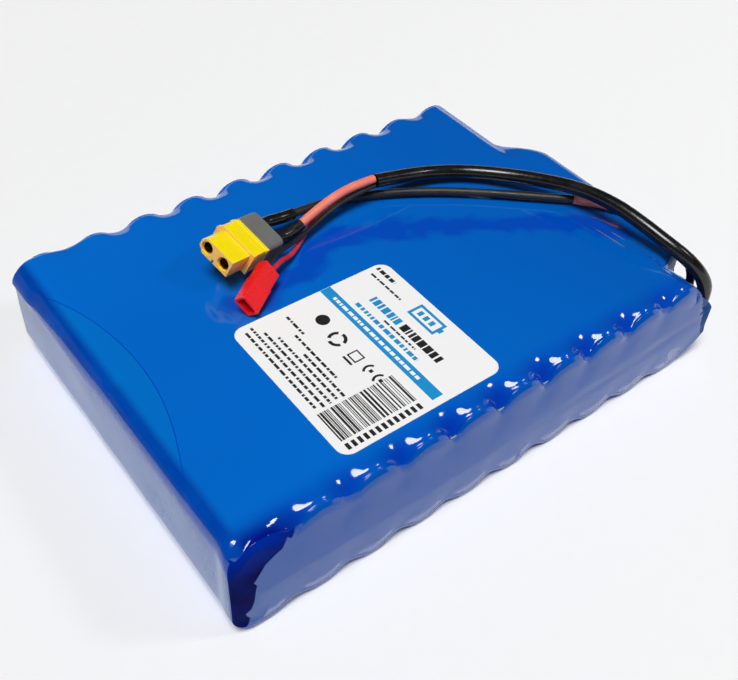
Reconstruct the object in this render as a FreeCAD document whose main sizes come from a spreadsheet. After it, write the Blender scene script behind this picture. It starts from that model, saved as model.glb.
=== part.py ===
"""Shrink-wrapped scooter battery pack: forty cells in a ten-column tray, its protection board and its leads.

Frame: origin at the middle of the underside's bounding box, +X along the long side towards the lead exit,
+Y across, +Z up. Millimetres.
"""
import FreeCAD
import Part
import Sketcher

import math
import os

from FreeCAD import Placement, Rotation, Vector

doc = FreeCAD.newDocument("BatteryPack")

# ---------------------------------------------------------------- driving dimensions

SIZES = {
    # cells: 18650 size, lying along Y, two end to end in each row
    "cell_diameter": 18.3,
    "cell_length": 65.0,
    "cell_pitch": 18.4,
    "column_count": 10,
    "cap_height": 1.0,
    "cap_radius": 3.4,
    "groove_radius": 0.5,
    "groove_setback": 3.2,
    "ring_radius": 8.2,
    "ring_thickness": 0.3,
    # nickel straps welded across the cell ends
    "nickel": 0.2,
    "strap_width": 8.0,
    "strap_overhang": 6.5,
    "link_length": 3.0,
    "link_setback": 0.2,
    # insulation
    "centre_board": 0.6,
    "face_board": 0.6,
    "end_board": 0.4,
    "paper": 0.2,
    "paper_setback": 4.7,
    "edge_setback": 7.0,
    "board_end_setback": 8.0,
    "end_board_margin": 9.0,
    "board_play": 1.0,
    # the two heat-shrink sleeves
    "wrap": 0.3,
    "face_slack": 1.4,
    "end_slack": 0.6,
    "end_radius": 8.9,
    "long_edge_radius": 1.6,
    "sleeve_window_margin": 16.0,
    "end_lip": 5.0,
    "scallop_radius": 91.0,
    "scallop_depth": 14.0,
    "scallop_offset": 4.0,
    # bulge over the protection board, and the tunnel that the leads leave through
    "bulge_reach": 103.0,
    "bulge_low": 2.4,
    "bulge_high": 36.7,
    "bulge_near": 52.0,
    "bulge_far": 31.0,
    "bulge_radius": 5.0,
    "tunnel_high": 27.0,
    "tunnel_radius": 2.0,
    "leads_floor": 8.0,
    # protection board
    "circuit_length": 76.0,
    "circuit_height": 31.0,
    "circuit_thickness": 1.6,
    "circuit_middle": -11.0,
    "pad_thickness": 1.5,
    "transistor_count": 8,
    "transistor_pitch": 8.6,
    "package_width": 6.4,
    "package_height": 6.0,
    "package_depth": 2.2,
    "package_rise": 5.0,
    "leg_spacing": 4.6,
    "leg_width": 0.8,
    "leg_length": 2.4,
    "leg_depth": 0.9,
    "spreader_height": 8.0,
    "spreader_thickness": 1.2,
    "shunt_width": 6.3,
    "shunt_height": 3.2,
    "shunt_pitch": 8.0,
    "capacitor_radius": 2.0,
    "capacitor_height": 4.2,
    "capacitor_pitch": 6.0,
    "header_length": 28.0,
    "header_height": 5.8,
    "header_depth": 4.6,
    "header_wall": 0.7,
    "header_play": 0.1,
    "tap_count": 11,
    "tap_pitch": 2.3,
    "tap_wire_radius": 0.6,
    "tap_wire_length": 3.6,
    "probe_radius": 1.2,
    "probe_length": 22.0,
    "inner_lead_radius": 1.5,
    "lug_side": 3.0,
    # label
    "label_length": 59.0,
    "label_width": 58.0,
    "label_thickness": 0.15,
    "label_corner": 4.0,
    "label_middle_x": -26.9,
    "label_middle_y": -29.0,
    # leads
    "sleeve_diameter": 5.0,
    "power_lead_diameter": 3.0,
    "charge_lead_diameter": 1.7,
    "shrink_diameter": 4.0,
    "splice_diameter": 3.8,
    "lead_clearance": 0.1,
    "lead_hole_depth": 12.0,
    # discharge connector
    "plug_width": 13.0,
    "plug_height": 6.2,
    "plug_depth": 8.0,
    "shell_width": 15.6,
    "shell_height": 7.8,
    "shell_depth": 7.5,
    "rim_width": 16.2,
    "rim_height": 8.2,
    "rim_depth": 1.2,
    "shell_chamfer": 2.0,
    "contact_spacing": 7.2,
    "contact_bore": 1.75,
    "contact_radius": 2.25,
    "contact_recess": 0.6,
    "contact_depth": 9.0,
    "contact_length": 18.0,
    "cup_depth": 5.0,
    "notch_width": 0.8,
    "notch_height": 2.4,
    "hood_width": 15.4,
    "hood_height": 8.0,
    "hood_depth": 10.0,
    "hood_radius": 2.4,
    # charge connector
    "inlet_width": 7.2,
    "inlet_height": 4.5,
    "inlet_depth": 10.0,
    "inlet_wall": 0.7,
    "inlet_tail_width": 6.8,
    "inlet_tail_height": 4.1,
    "inlet_tail_depth": 7.0,
    "inlet_pin_spacing": 2.5,
    "inlet_pin_side": 0.7,
    "inlet_pin_reach": 6.5,
    "inlet_corner": 0.35,
}

# Where the two loose connectors lie: front face centre, then yaw, pitch and roll in degrees.
DISCHARGE_PLACE = Placement(Vector(-48.4, 20.3, 51.2), Rotation(17, 14, 20))
CHARGE_PLACE = Placement(Vector(-48.6, 2.8, 43.6), Rotation(33, -5, 53))

# The routes of the leads, from where each starts to where it ends.
SLEEVE_ROUTE = [
    (94.0, -64.2, 21.5),
    (94.2, -64.1, 28.5),
    (92.4, -63.2, 33.4),
    (89.9, -60.4, 37.9),
    (86.9, -55.8, 41.8),
    (84.4, -48.6, 44.4),
    (82.7, -39.6, 46.5),
    (81.2, -28.4, 47.9),
    (78.2, -15.2, 47.5),
    (73.0, -2.2, 45.4),
    (65.4, 9.8, 43.6),
    (56.0, 19.2, 43.0),
    (45.4, 25.2, 43.3),
    (33.6, 27.6, 45.0),
    (20.1, 28.3, 47.3),
]
NEGATIVE_ROUTE = [
    (93.1, -58.8, 21.5),
    (93.4, -58.4, 28.0),
    (93.2, -56.9, 33.6),
    (91.5, -53.1, 38.6),
    (90.5, -46.2, 40.2),
    (90.5, -38.0, 40.6),
    (90.8, -29.6, 41.0),
    (87.6, -21.6, 41.2),
    (80.8, -14.2, 41.2),
    (69.4, -4.6, 41.1),
    (55.6, 7.2, 41.0),
    (41.8, 17.4, 41.1),
    (29.0, 25.0, 41.0),
    (16.8, 30.4, 41.1),
    (5.4, 33.0, 41.6),
    (-3.2, 33.0, 43.0),
    (-11.8, 31.8, 44.4),
]
POSITIVE_ROUTE = [
    (19.6, 28.3, 48.4),
    (11.8, 28.7, 48.6),
    (3.5, 28.3, 47.9),
    (-4.7, 27.3, 46.3),
    (-12.3, 26.1, 44.2),
]
CHARGE_BLACK_ROUTE = [
    (19.6, 27.4, 46.1),
    (11.3, 27.9, 45.5),
    (1.8, 27.2, 44.2),
    (-7.9, 24.7, 42.6),
    (-16.0, 22.0, 42.4),
    (-23.1, 19.0, 43.9),
    (-29.2, 16.0, 46.1),
    (-34.7, 12.7, 46.1),
]
CHARGE_RED_ROUTE = [
    (19.6, 29.2, 46.1),
    (10.8, 30.1, 45.3),
    (1.3, 29.4, 43.5),
    (-8.6, 26.9, 41.1),
    (-17.6, 20.6, 40.3),
    (-22.9, 17.0, 41.4),
    (-28.2, 14.6, 43.8),
    (-33.8, 11.5, 44.1),
]
# The corners of the negative lead's route that its repair sleeve covers.
SPLICE_CORNERS = (5, 6)
# The straight stretches at both ends of a lead's heat-shrink.
SHRINK_STRAIGHT = 3.5
SHRINK_OVERLAP = 4.5

sheet = doc.addObject("Spreadsheet::Sheet", "Sizes")
for row, (alias, number) in enumerate(SIZES.items(), start=1):
    sheet.set(f"A{row}", alias)
    sheet.set(f"B{row}", str(number))
    sheet.setAlias(f"B{row}", alias)
doc.recompute()


def size(alias):
    """The number in the sheet under an alias."""
    return float(sheet.get(alias))


# Planes and distances that several pieces share, as expressions on the sheet.
CELL_BOTTOM = "(2 * Sizes.wrap + Sizes.face_board)"
CELL_TOP = f"({CELL_BOTTOM} + Sizes.cell_diameter + Sizes.cell_pitch)"
PACK_TOP = f"({CELL_TOP} + Sizes.face_board + 2 * Sizes.wrap)"
CELL_START = "(Sizes.centre_board / 2 + Sizes.nickel)"
CELL_FINISH = f"({CELL_START} + Sizes.cell_length)"
FACE = f"({CELL_FINISH} + Sizes.nickel)"
HALF_WIDTH = f"({FACE} + Sizes.paper + Sizes.face_slack + 2 * Sizes.wrap)"
HALF_TRAY = "(Sizes.column_count * Sizes.cell_pitch / 2)"
HALF_LENGTH = f"({HALF_TRAY} + Sizes.end_board + Sizes.end_slack + 2 * Sizes.wrap)"
GRID_X = f"(({HALF_LENGTH} - Sizes.bulge_reach) / 2)"
CIRCUIT_X = f"({GRID_X} + {HALF_TRAY} + Sizes.end_board + Sizes.pad_thickness)"
CIRCUIT_FACE = f"({CIRCUIT_X} + Sizes.circuit_thickness)"
CIRCUIT_Z = f"({PACK_TOP} / 2)"

# ---------------------------------------------------------------- building blocks

finished = []


def finish(shape_object, label):
    """Gives a finished sub-part its name."""
    shape_object.Label = label
    finished.append(shape_object)
    return shape_object


def bind(thing, **expressions):
    """Binds properties to the sheet: a double underscore in a name stands for a dot."""
    for name, expression in expressions.items():
        thing.setExpression(name.replace("__", "."), str(expression))
    return thing


def place(thing, x=0, y=0, z=0):
    """Binds a piece's position."""
    return bind(thing, Placement__Base__x=x, Placement__Base__y=y, Placement__Base__z=z)


def block(name, length, width, height, x, y, z):
    """A box from its low corner, every size an expression."""
    box = doc.addObject("Part::Box", name)
    bind(box, Length=length, Width=width, Height=height)
    return place(box, x, y, z)


def rod(name, radius, height, x, y, z, direction="z"):
    """A cylinder from the middle of its first face, along one axis."""
    cylinder = doc.addObject("Part::Cylinder", name)
    bind(cylinder, Radius=radius, Height=height)
    turns = {"x": Rotation(Vector(0, 1, 0), 90), "y": Rotation(Vector(1, 0, 0), -90), "z": Rotation()}
    cylinder.Placement = Placement(Vector(), turns[direction])
    return place(cylinder, x, y, z)


def fuse(name, pieces):
    """One solid from pieces that touch."""
    joined = doc.addObject("Part::MultiFuse", name)
    joined.Shapes = pieces
    return joined


def cut(name, base, tools):
    """A piece with others taken out of it."""
    tool = tools[0] if len(tools) == 1 else fuse(name + "_tools", tools)
    rest = doc.addObject("Part::Cut", name)
    rest.Base = base
    rest.Tool = tool
    return rest


def group(label, pieces):
    """Separate solids kept as one sub-part."""
    together = doc.addObject("Part::Compound", label)
    together.Links = pieces
    return finish(together, label)


def edges_along(shape, axis):
    """Numbers of the straight edges that run along one axis."""
    found = []
    for number, edge in enumerate(shape.Edges, start=1):
        if edge.Curve.TypeId == "Part::GeomLine" and abs(abs(edge.tangentAt(0).dot(axis)) - 1) < 1e-6:
            found.append(number)
    return found


def soften(name, base, radii):
    """Rounds a box's edges: radii maps an axis to the radius of the edges along it."""
    doc.recompute()
    rounding = doc.addObject("Part::Fillet", name)
    rounding.Base = base
    rounding.Edges = [
        (number, radius, radius)
        for axis, radius in radii
        for number in edges_along(base.Shape, axis)
    ]
    return rounding


AXIS_X, AXIS_Y, AXIS_Z = Vector(1, 0, 0), Vector(0, 1, 0), Vector(0, 0, 1)


def origin_plane(body, role):
    """One of a body's own origin planes."""
    return next(plane for plane in body.Origin.OriginFeatures if plane.Role == role)


def rectangle(body, name, role, across, along, offset=0):
    """A sketch of a rectangle about a body's origin, its two sides bound to the sheet."""
    sketch = body.newObject("Sketcher::SketchObject", name)
    sketch.AttachmentSupport = (origin_plane(body, role), [""])
    sketch.MapMode = "FlatFace"
    bind(sketch, AttachmentOffset__Base__z=offset)
    corners = [Vector(-5, -5, 0), Vector(5, -5, 0), Vector(5, 5, 0), Vector(-5, 5, 0)]
    for first, second in zip(corners, corners[1:] + corners[:1]):
        sketch.addGeometry(Part.LineSegment(first, second))
    for side in range(4):
        sketch.addConstraint(Sketcher.Constraint("Coincident", side, 2, (side + 1) % 4, 1))
    for side in (0, 2):
        sketch.addConstraint(Sketcher.Constraint("Horizontal", side))
    for side in (1, 3):
        sketch.addConstraint(Sketcher.Constraint("Vertical", side))
    sketch.addConstraint(Sketcher.Constraint("Symmetric", 0, 1, 2, 1, -1, 1))
    for kind, side, title, length in (("DistanceX", 0, "across", across), ("DistanceY", 1, "along", along)):
        number = sketch.addConstraint(Sketcher.Constraint(kind, side, 1, side, 2, 10))
        sketch.renameConstraint(number, title)
        sketch.setExpression(f"Constraints.{title}", str(length))
    return sketch


def pad(body, name, sketch, depth):
    """Raises a sketch into a solid."""
    raised = body.newObject("PartDesign::Pad", name)
    raised.Profile = sketch
    bind(raised, Length=depth)
    sketch.Visibility = False
    doc.recompute()
    return raised


def pocket(body, name, sketch, depth):
    """Sinks a sketch into a solid, along the sketch's own normal."""
    before = body.Shape.Volume
    sunk = body.newObject("PartDesign::Pocket", name)
    sunk.Profile = sketch
    sunk.Reversed = True
    bind(sunk, Length=depth)
    doc.recompute()
    if body.Shape.Volume > before - 1e-6:
        raise RuntimeError(f"{name} takes nothing away")
    return sunk


def dress(body, kind, name, numbers, **expressions):
    """Rounds or bevels numbered edges of a body's last feature."""
    base = body.Tip
    feature = body.newObject(kind, name)
    feature.Base = (base, [f"Edge{number}" for number in numbers])
    bind(feature, **expressions)
    doc.recompute()
    return feature


def slab(label, role, across, along, thickness, x, y, z, corner=None):
    """A flat piece padded from a rectangle in a plane, with x, y, z as the middle of its first face."""
    body = doc.addObject("PartDesign::Body", label)
    sketch = rectangle(body, label + "_outline", role, across, along)
    pad(body, label + "_pad", sketch, thickness)
    if corner:
        normal = {"XY_Plane": AXIS_Z, "YZ_Plane": AXIS_X, "XZ_Plane": AXIS_Y}[role]
        numbers = edges_along(body.Shape, normal)
        dress(body, "PartDesign::Fillet", label + "_corners", numbers, Radius=corner)
    place(body, x, y, z)
    return finish(body, label)


# ---------------------------------------------------------------- cells

COLUMNS = int(size("column_count"))
COLUMNS_PER_GROUP = 2
GROUPS_PER_HALF = COLUMNS // COLUMNS_PER_GROUP


def column_x(column):
    """Middle of a column of cells, as an expression."""
    return f"({GRID_X} + Sizes.cell_pitch * ({column} - (Sizes.column_count - 1) / 2))"


def layer_z(layer):
    """Middle height of a layer of cells, as an expression."""
    return f"({CELL_BOTTOM} + Sizes.cell_diameter / 2 + {layer} * Sizes.cell_pitch)"


def groups():
    """Every parallel group, in series order: number, half (-1 near, 1 far), columns, way its tops point."""
    for number in range(2 * GROUPS_PER_HALF):
        near = number < GROUPS_PER_HALF
        step = GROUPS_PER_HALF - 1 - number if near else number - GROUPS_PER_HALF
        first = step * COLUMNS_PER_GROUP
        yield number, -1 if near else 1, (first, first + 1), 1 if number % 2 == 0 else -1


def cell(tag, half, column, layer, facing):
    """One cell: its rolled can, its raised top and the paper ring round the top."""
    x, z = column_x(column), layer_z(layer)
    low = CELL_START if half > 0 else f"(-{CELL_FINISH})"
    can_length = "(Sizes.cell_length - Sizes.cap_height)"
    can_y = low if facing > 0 else f"({low} + Sizes.cap_height)"
    top_y = f"({low} + {can_length})" if facing > 0 else low
    groove_y = (
        f"({low} + {can_length} - Sizes.groove_setback)"
        if facing > 0
        else f"({low} + Sizes.cap_height + Sizes.groove_setback)"
    )
    ring_y = top_y if facing > 0 else f"({low} + Sizes.cap_height - Sizes.ring_thickness)"
    can = rod(f"can_{tag}", "Sizes.cell_diameter / 2", can_length, x, can_y, z, "y")
    groove = doc.addObject("Part::Torus", f"groove_{tag}")
    bind(groove, Radius1="Sizes.cell_diameter / 2", Radius2="Sizes.groove_radius")
    groove.Placement = Placement(Vector(), Rotation(Vector(1, 0, 0), -90))
    place(groove, x, groove_y, z)
    body = cut(f"cell_{tag}", can, [groove])
    top = rod(f"top_{tag}", "Sizes.cap_radius", "Sizes.cap_height", x, top_y, z, "y")
    disc = rod(f"disc_{tag}", "Sizes.ring_radius", "Sizes.ring_thickness", x, ring_y, z, "y")
    hole = rod(f"hole_{tag}", "Sizes.cap_radius", "Sizes.ring_thickness", x, ring_y, z, "y")
    return body, top, cut(f"ring_{tag}", disc, [hole])


def build_cells():
    """Ten groups of four parallel cells, with all tops in one sub-part and all rings in another."""
    tops, rings = [], []
    for number, half, columns, facing in groups():
        cans = []
        for column in columns:
            for layer in (0, 1):
                can, top, ring = cell(f"{number}_{column}_{layer}", half, column, layer, facing)
                cans.append(can)
                tops.append(top)
                rings.append(ring)
        group(f"cell_group_{number + 1:02d}", cans)
    group("cell_tops", tops)
    group("cell_top_rings", rings)


def strap(tag, columns, y):
    """A nickel strap over some columns of cell ends: one bar along each layer and one across each column."""
    bars = []
    first, last = column_x(columns[0]), column_x(columns[-1])
    reach = "Sizes.strap_overhang"
    for layer in (0, 1):
        low = f"({layer_z(layer)} - Sizes.strap_width / 2)"
        length = f"({last} - {first} + 2 * {reach})"
        bars.append(
            block(f"bar_{tag}_{layer}", length, "Sizes.nickel", "Sizes.strap_width",
                  f"{first} - {reach}", y, low)
        )
    height = f"({layer_z(1)} - {layer_z(0)})"
    for column in columns:
        low = f"({column_x(column)} - Sizes.strap_width / 2)"
        bars.append(block(f"tie_{tag}_{column}", "Sizes.strap_width", "Sizes.nickel", height,
                          low, y, layer_z(0)))
    return fuse(f"strap_{tag}", bars)


def build_straps():
    """Four faces of three straps each, which put the ten groups in series."""
    outer = [(8, 9), (4, 5, 6, 7), (0, 1, 2, 3)]
    inner = [(6, 7, 8, 9), (2, 3, 4, 5), (0, 1)]
    faces = [
        ("nickel_straps_near_face", outer, f"(-{FACE})"),
        ("nickel_straps_near_middle", inner, f"(-{CELL_START})"),
        ("nickel_straps_far_middle", inner, "(Sizes.centre_board / 2)"),
        ("nickel_straps_far_face", outer, CELL_FINISH),
    ]
    for label, runs, y in faces:
        group(label, [strap(f"{label}_{number}", run, y) for number, run in enumerate(runs)])


def build_series_link():
    """The nickel link round the centre board's end, from the near half's groups to the far half's."""
    overlap = "Sizes.strap_width"
    gap = "(Sizes.centre_board + 2 * Sizes.nickel)"
    start = f"({GRID_X} - Sizes.column_count * Sizes.cell_pitch / 2 + Sizes.link_setback)"
    low = f"({layer_z(0)} + Sizes.cell_diameter / 2 - Sizes.strap_width / 2)"
    reach = "Sizes.link_length"
    bend = block("link_bend", "Sizes.nickel", gap, overlap, start, f"(-{gap} / 2)", low)
    near = block("link_near", reach, "Sizes.nickel", overlap, start, f"(-{gap} / 2)", low)
    far = block("link_far", reach, "Sizes.nickel", overlap, start, "(Sizes.centre_board / 2)", low)
    finish(fuse("series_link", [bend, near, far]), "series_link")


# ---------------------------------------------------------------- insulation

def build_insulation():
    """Centre board, top and bottom boards, end boards and the papers over the two welded faces."""
    tray = f"(2 * {HALF_TRAY})"
    cells_high = f"({CELL_TOP} - {CELL_BOTTOM})"
    middle_z = f"({PACK_TOP} / 2)"
    flat_length = f"({tray} - 2 * Sizes.board_end_setback)"
    flat_width = f"(2 * ({CELL_FINISH} - Sizes.edge_setback))"
    board_length = f"({tray} - 2 * Sizes.board_play)"
    slab("centre_board", "XZ_Plane", board_length, cells_high, "Sizes.centre_board", GRID_X,
         "Sizes.centre_board / 2", middle_z, corner="Sizes.end_radius")
    slab("bottom_board", "XY_Plane", flat_length, flat_width, "Sizes.face_board", GRID_X, 0, "2 * Sizes.wrap")
    slab("top_board", "XY_Plane", flat_length, flat_width, "Sizes.face_board", GRID_X, 0, CELL_TOP)
    end_high = f"({PACK_TOP} - 2 * Sizes.end_board_margin)"
    end_wide = f"(2 * ({FACE} - Sizes.board_play))"
    slab("outer_end_board", "YZ_Plane", end_wide, end_high, "Sizes.end_board",
         f"{GRID_X} - {tray} / 2 - Sizes.end_board", 0, middle_z)
    slab("circuit_end_board", "YZ_Plane", end_wide, end_high, "Sizes.end_board",
         f"{GRID_X} + {tray} / 2", 0, middle_z)
    paper_high = f"({cells_high} - 2 * Sizes.paper_setback)"
    paper_long = f"({tray} - 2 * Sizes.paper_setback)"
    for label, y in (("near_face_paper", f"(-{FACE})"), ("far_face_paper", f"({FACE} + Sizes.paper)")):
        slab(label, "XZ_Plane", paper_long, paper_high, "Sizes.paper", GRID_X, y, middle_z,
             corner="Sizes.paper_setback")


# ---------------------------------------------------------------- protection board

def build_circuit():
    """The protection board on its foam pad, with its transistors, shunts, heat spreader and balance plug."""
    y, z = "Sizes.circuit_middle", CIRCUIT_Z
    slab("circuit_pad", "YZ_Plane", "Sizes.circuit_length - 4 * Sizes.board_play",
         "Sizes.circuit_height - 8 * Sizes.board_play", "Sizes.pad_thickness",
         f"{CIRCUIT_X} - Sizes.pad_thickness", y, z)
    slab("circuit_board", "YZ_Plane", "Sizes.circuit_length", "Sizes.circuit_height",
         "Sizes.circuit_thickness", CIRCUIT_X, y, z, corner="Sizes.circuit_thickness")
    package_z = f"({z} + Sizes.package_rise)"
    transistors = []
    for number in range(int(size("transistor_count"))):
        middle = f"({y} + Sizes.transistor_pitch * ({number} - (Sizes.transistor_count - 1) / 2))"
        package = block(f"package_{number}", "Sizes.package_depth", "Sizes.package_width",
                        "Sizes.package_height", CIRCUIT_FACE, f"{middle} - Sizes.package_width / 2",
                        package_z)
        legs = [
            block(f"leg_{number}_{side + 1}", "Sizes.leg_depth", "Sizes.leg_width", "Sizes.leg_length",
                  CIRCUIT_FACE, f"{middle} + {side} * Sizes.leg_spacing / 2 - Sizes.leg_width / 2",
                  f"{package_z} - Sizes.leg_length")
            for side in (-1, 1)
        ]
        transistors.append(fuse(f"transistor_{number}", [package] + legs))
    group("transistors", transistors)
    slab("heat_spreader", "YZ_Plane", "Sizes.transistor_count * Sizes.transistor_pitch",
         "Sizes.spreader_height", "Sizes.spreader_thickness", f"{CIRCUIT_FACE} + Sizes.package_depth", y,
         f"{package_z} + Sizes.spreader_height / 2")
    shunts = [
        block(f"shunt_{number}", "Sizes.leg_depth", "Sizes.shunt_width", "Sizes.shunt_height", CIRCUIT_FACE,
              f"{y} + Sizes.circuit_length / 4 + {number} * Sizes.shunt_pitch", f"{z} - Sizes.shunt_height")
        for number in range(2)
    ]
    group("shunt_resistors", shunts)
    capacitors = [
        rod(f"capacitor_{number}", "Sizes.capacitor_radius", "Sizes.capacitor_height", CIRCUIT_FACE,
            f"{y} + Sizes.circuit_length / 4 + {number} * Sizes.capacitor_pitch",
            f"{z} - Sizes.circuit_height / 2 + 3 * Sizes.capacitor_radius", "x")
        for number in range(2)
    ]
    group("capacitors", capacitors)
    probe = rod("temperature_probe", "Sizes.probe_radius", "Sizes.probe_length",
                f"{CIRCUIT_FACE} + Sizes.probe_radius", f"{y} + Sizes.circuit_length / 8",
                f"{z} - Sizes.circuit_height / 2 + Sizes.probe_radius", "y")
    finish(probe, "temperature_probe")


def build_balance_taps():
    """The balance header on the board, its plug and the first stretch of the tap wires."""
    low_y = f"(Sizes.circuit_middle - Sizes.circuit_length / 2 + Sizes.header_length / 2)"
    low_z = f"({CIRCUIT_Z} - Sizes.circuit_height / 2 + Sizes.header_height)"
    wall, play = "Sizes.header_wall", "Sizes.header_play"
    shell = block("header_shell", "Sizes.header_depth", "Sizes.header_length", "Sizes.header_height",
                  CIRCUIT_FACE, low_y, low_z)
    slot = block("header_slot", f"Sizes.header_depth - 2 * {wall}", f"Sizes.header_length - 2 * {wall}",
                 f"Sizes.header_height - {wall}", f"{CIRCUIT_FACE} + {wall}", f"{low_y} + {wall}", low_z)
    finish(cut("balance_header", shell, [slot]), "balance_header")
    margin = f"({wall} + {play})"
    plug = block("balance_plug", f"Sizes.header_depth - 2 * {margin}", f"Sizes.header_length - 2 * {margin}",
                 f"Sizes.header_height - {wall}", f"{CIRCUIT_FACE} + {margin}", f"{low_y} + {margin}",
                 f"{low_z} - {play}")
    finish(plug, "balance_plug")
    wires = [
        rod(f"tap_wire_{number}", "Sizes.tap_wire_radius", "Sizes.tap_wire_length",
            f"{CIRCUIT_FACE} + Sizes.header_depth / 2",
            f"{low_y} + Sizes.header_length / 2 + Sizes.tap_pitch * ({number} - (Sizes.tap_count - 1) / 2)",
            f"{low_z} - {play} - Sizes.tap_wire_length")
        for number in range(int(size("tap_count")))
    ]
    group("balance_wires", wires)


def build_inner_leads():
    """The inner ends of the power leads: from the board's two solder lugs and up the tunnel."""
    radius, side = "Sizes.inner_lead_radius", "Sizes.lug_side"
    end = f"(Sizes.circuit_middle - Sizes.circuit_length / 2 + {side})"
    for label, route, level in (
        ("inner_positive_lead", SLEEVE_ROUTE, "Sizes.leads_floor"),
        ("inner_negative_lead", NEGATIVE_ROUTE, "(Sizes.leads_floor + 2 * Sizes.lug_side)"),
    ):
        x, y, start = route[0]
        rise = rod(label + "_rise", radius, f"{start} - {level} - 2 * Sizes.lead_clearance", x, y, level)
        elbow = doc.addObject("Part::Sphere", label + "_elbow")
        bind(elbow, Radius=radius)
        place(elbow, x, y, level)
        run = rod(label + "_run", radius, f"{end} - ({y})", x, y, level, "y")
        lug = block(label + "_lug", f"{x} - {CIRCUIT_FACE}", side, side, CIRCUIT_FACE, f"{end} - {side}",
                    f"{level} - {side} / 2")
        finish(fuse(label, [rise, elbow, run, lug]), label)


# ---------------------------------------------------------------- heat-shrink sleeves

def envelope(name, layers):
    """The wrapped pack's form without its outermost layers: the tray, the board's bulge, the lead tunnel."""
    inset = f"({layers} * Sizes.wrap)"
    distance = layers * size("wrap")
    low_x = f"({GRID_X} - {HALF_LENGTH} + {inset})"
    tray = block(f"{name}_tray", f"2 * ({HALF_LENGTH} - {inset})", f"2 * ({HALF_WIDTH} - {inset})",
                 f"{PACK_TOP} - 2 * {inset}", low_x, f"-({HALF_WIDTH} - {inset})", inset)
    long_radius = size("long_edge_radius") - distance
    tray = soften(f"{name}_tray_soft", tray, [
        (AXIS_Y, size("end_radius") - distance), (AXIS_X, long_radius), (AXIS_Z, long_radius)])
    back = f"({GRID_X} + {HALF_LENGTH} - 16)"
    reach = f"({GRID_X} + Sizes.bulge_reach - {inset} - {back})"
    bulge = block(f"{name}_bulge", reach, f"Sizes.bulge_near + Sizes.bulge_far - 2 * {inset}",
                  f"Sizes.bulge_high - Sizes.bulge_low - 2 * {inset}", back, f"-Sizes.bulge_near + {inset}",
                  f"Sizes.bulge_low + {inset}")
    corner = size("bulge_radius") - distance
    bulge = soften(f"{name}_bulge_soft", bulge, [(AXIS_Y, corner), (AXIS_Z, corner)])
    tunnel = block(f"{name}_tunnel", reach, f"{HALF_WIDTH} - Sizes.bulge_near + 12 - 2 * {inset}",
                   f"Sizes.tunnel_high - Sizes.bulge_low - 2 * {inset}", back, f"-({HALF_WIDTH} - {inset})",
                   f"Sizes.bulge_low + {inset}")
    edge = size("tunnel_radius") - distance
    tunnel = soften(f"{name}_tunnel_soft", tunnel, [(AXIS_X, edge), (AXIS_Y, edge), (AXIS_Z, edge)])
    return fuse(name, [tray, bulge, tunnel])


def lead_holes(name):
    """The two holes that the leads leave the tunnel through, as tools."""
    holes = []
    for title, route, diameter in (("sleeve", SLEEVE_ROUTE, "sleeve_diameter"),
                                   ("negative", NEGATIVE_ROUTE, "power_lead_diameter")):
        start, corner = Vector(*route[0]), Vector(*route[1])
        hole = doc.addObject("Part::Cylinder", f"{name}_{title}_hole")
        bind(hole, Radius=f"Sizes.{diameter} / 2 + Sizes.lead_clearance", Height="Sizes.lead_hole_depth")
        hole.Placement = Placement(start, Rotation(Vector(0, 0, 1), corner - start))
        holes.append(hole)
    return holes


def build_sleeves():
    """The inner sleeve, shrunk on across the pack, and the outer one, shrunk on along it."""
    cavity = envelope("inner_sleeve_cavity", 2)
    inner_form = envelope("inner_sleeve_form", 1)
    window = "Sizes.sleeve_window_margin"
    openings = [
        block(f"inner_window_{side}", f"2 * ({HALF_LENGTH} - {window})", "4", f"{PACK_TOP} - 16",
              f"{GRID_X} - ({HALF_LENGTH} - {window})", f"{side} * {HALF_WIDTH} - 2", "8")
        for side in (-1, 1)
    ]
    inner = cut("inner_sleeve", inner_form, [cavity] + openings + lead_holes("inner"))
    finish(inner, "inner_sleeve")

    filling = envelope("outer_sleeve_cavity", 1)
    outer_form = envelope("outer_sleeve_form", 0)
    lip = "Sizes.end_lip"
    mouth = block("outer_end_mouth", "3", f"2 * ({HALF_WIDTH} - {lip})", f"{PACK_TOP} - 2 * {lip}",
                  f"{GRID_X} - {HALF_LENGTH} - 1.5", f"-({HALF_WIDTH} - {lip})", lip)
    circuit_mouth = block("outer_circuit_mouth", "3", "Sizes.bulge_near + Sizes.bulge_far - 30",
                          f"{PACK_TOP} - 4 * {lip}", f"{GRID_X} + Sizes.bulge_reach - 1.5",
                          "-Sizes.bulge_near + 15", f"2 * {lip}")
    scallop = rod("outer_end_scallop", "Sizes.scallop_radius", "2",
                  f"{GRID_X} - {HALF_LENGTH} + Sizes.scallop_depth - Sizes.scallop_radius",
                  "Sizes.scallop_offset", f"{PACK_TOP} - 1")
    outer = cut("outer_sleeve", outer_form, [filling, mouth, circuit_mouth, scallop] + lead_holes("outer"))
    finish(outer, "outer_sleeve")


def build_label():
    """The paper label stuck on the top."""
    slab("label", "XY_Plane", "Sizes.label_length", "Sizes.label_width", "Sizes.label_thickness",
         "Sizes.label_middle_x", "Sizes.label_middle_y", PACK_TOP, corner="Sizes.label_corner")


# ---------------------------------------------------------------- discharge connector

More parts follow.
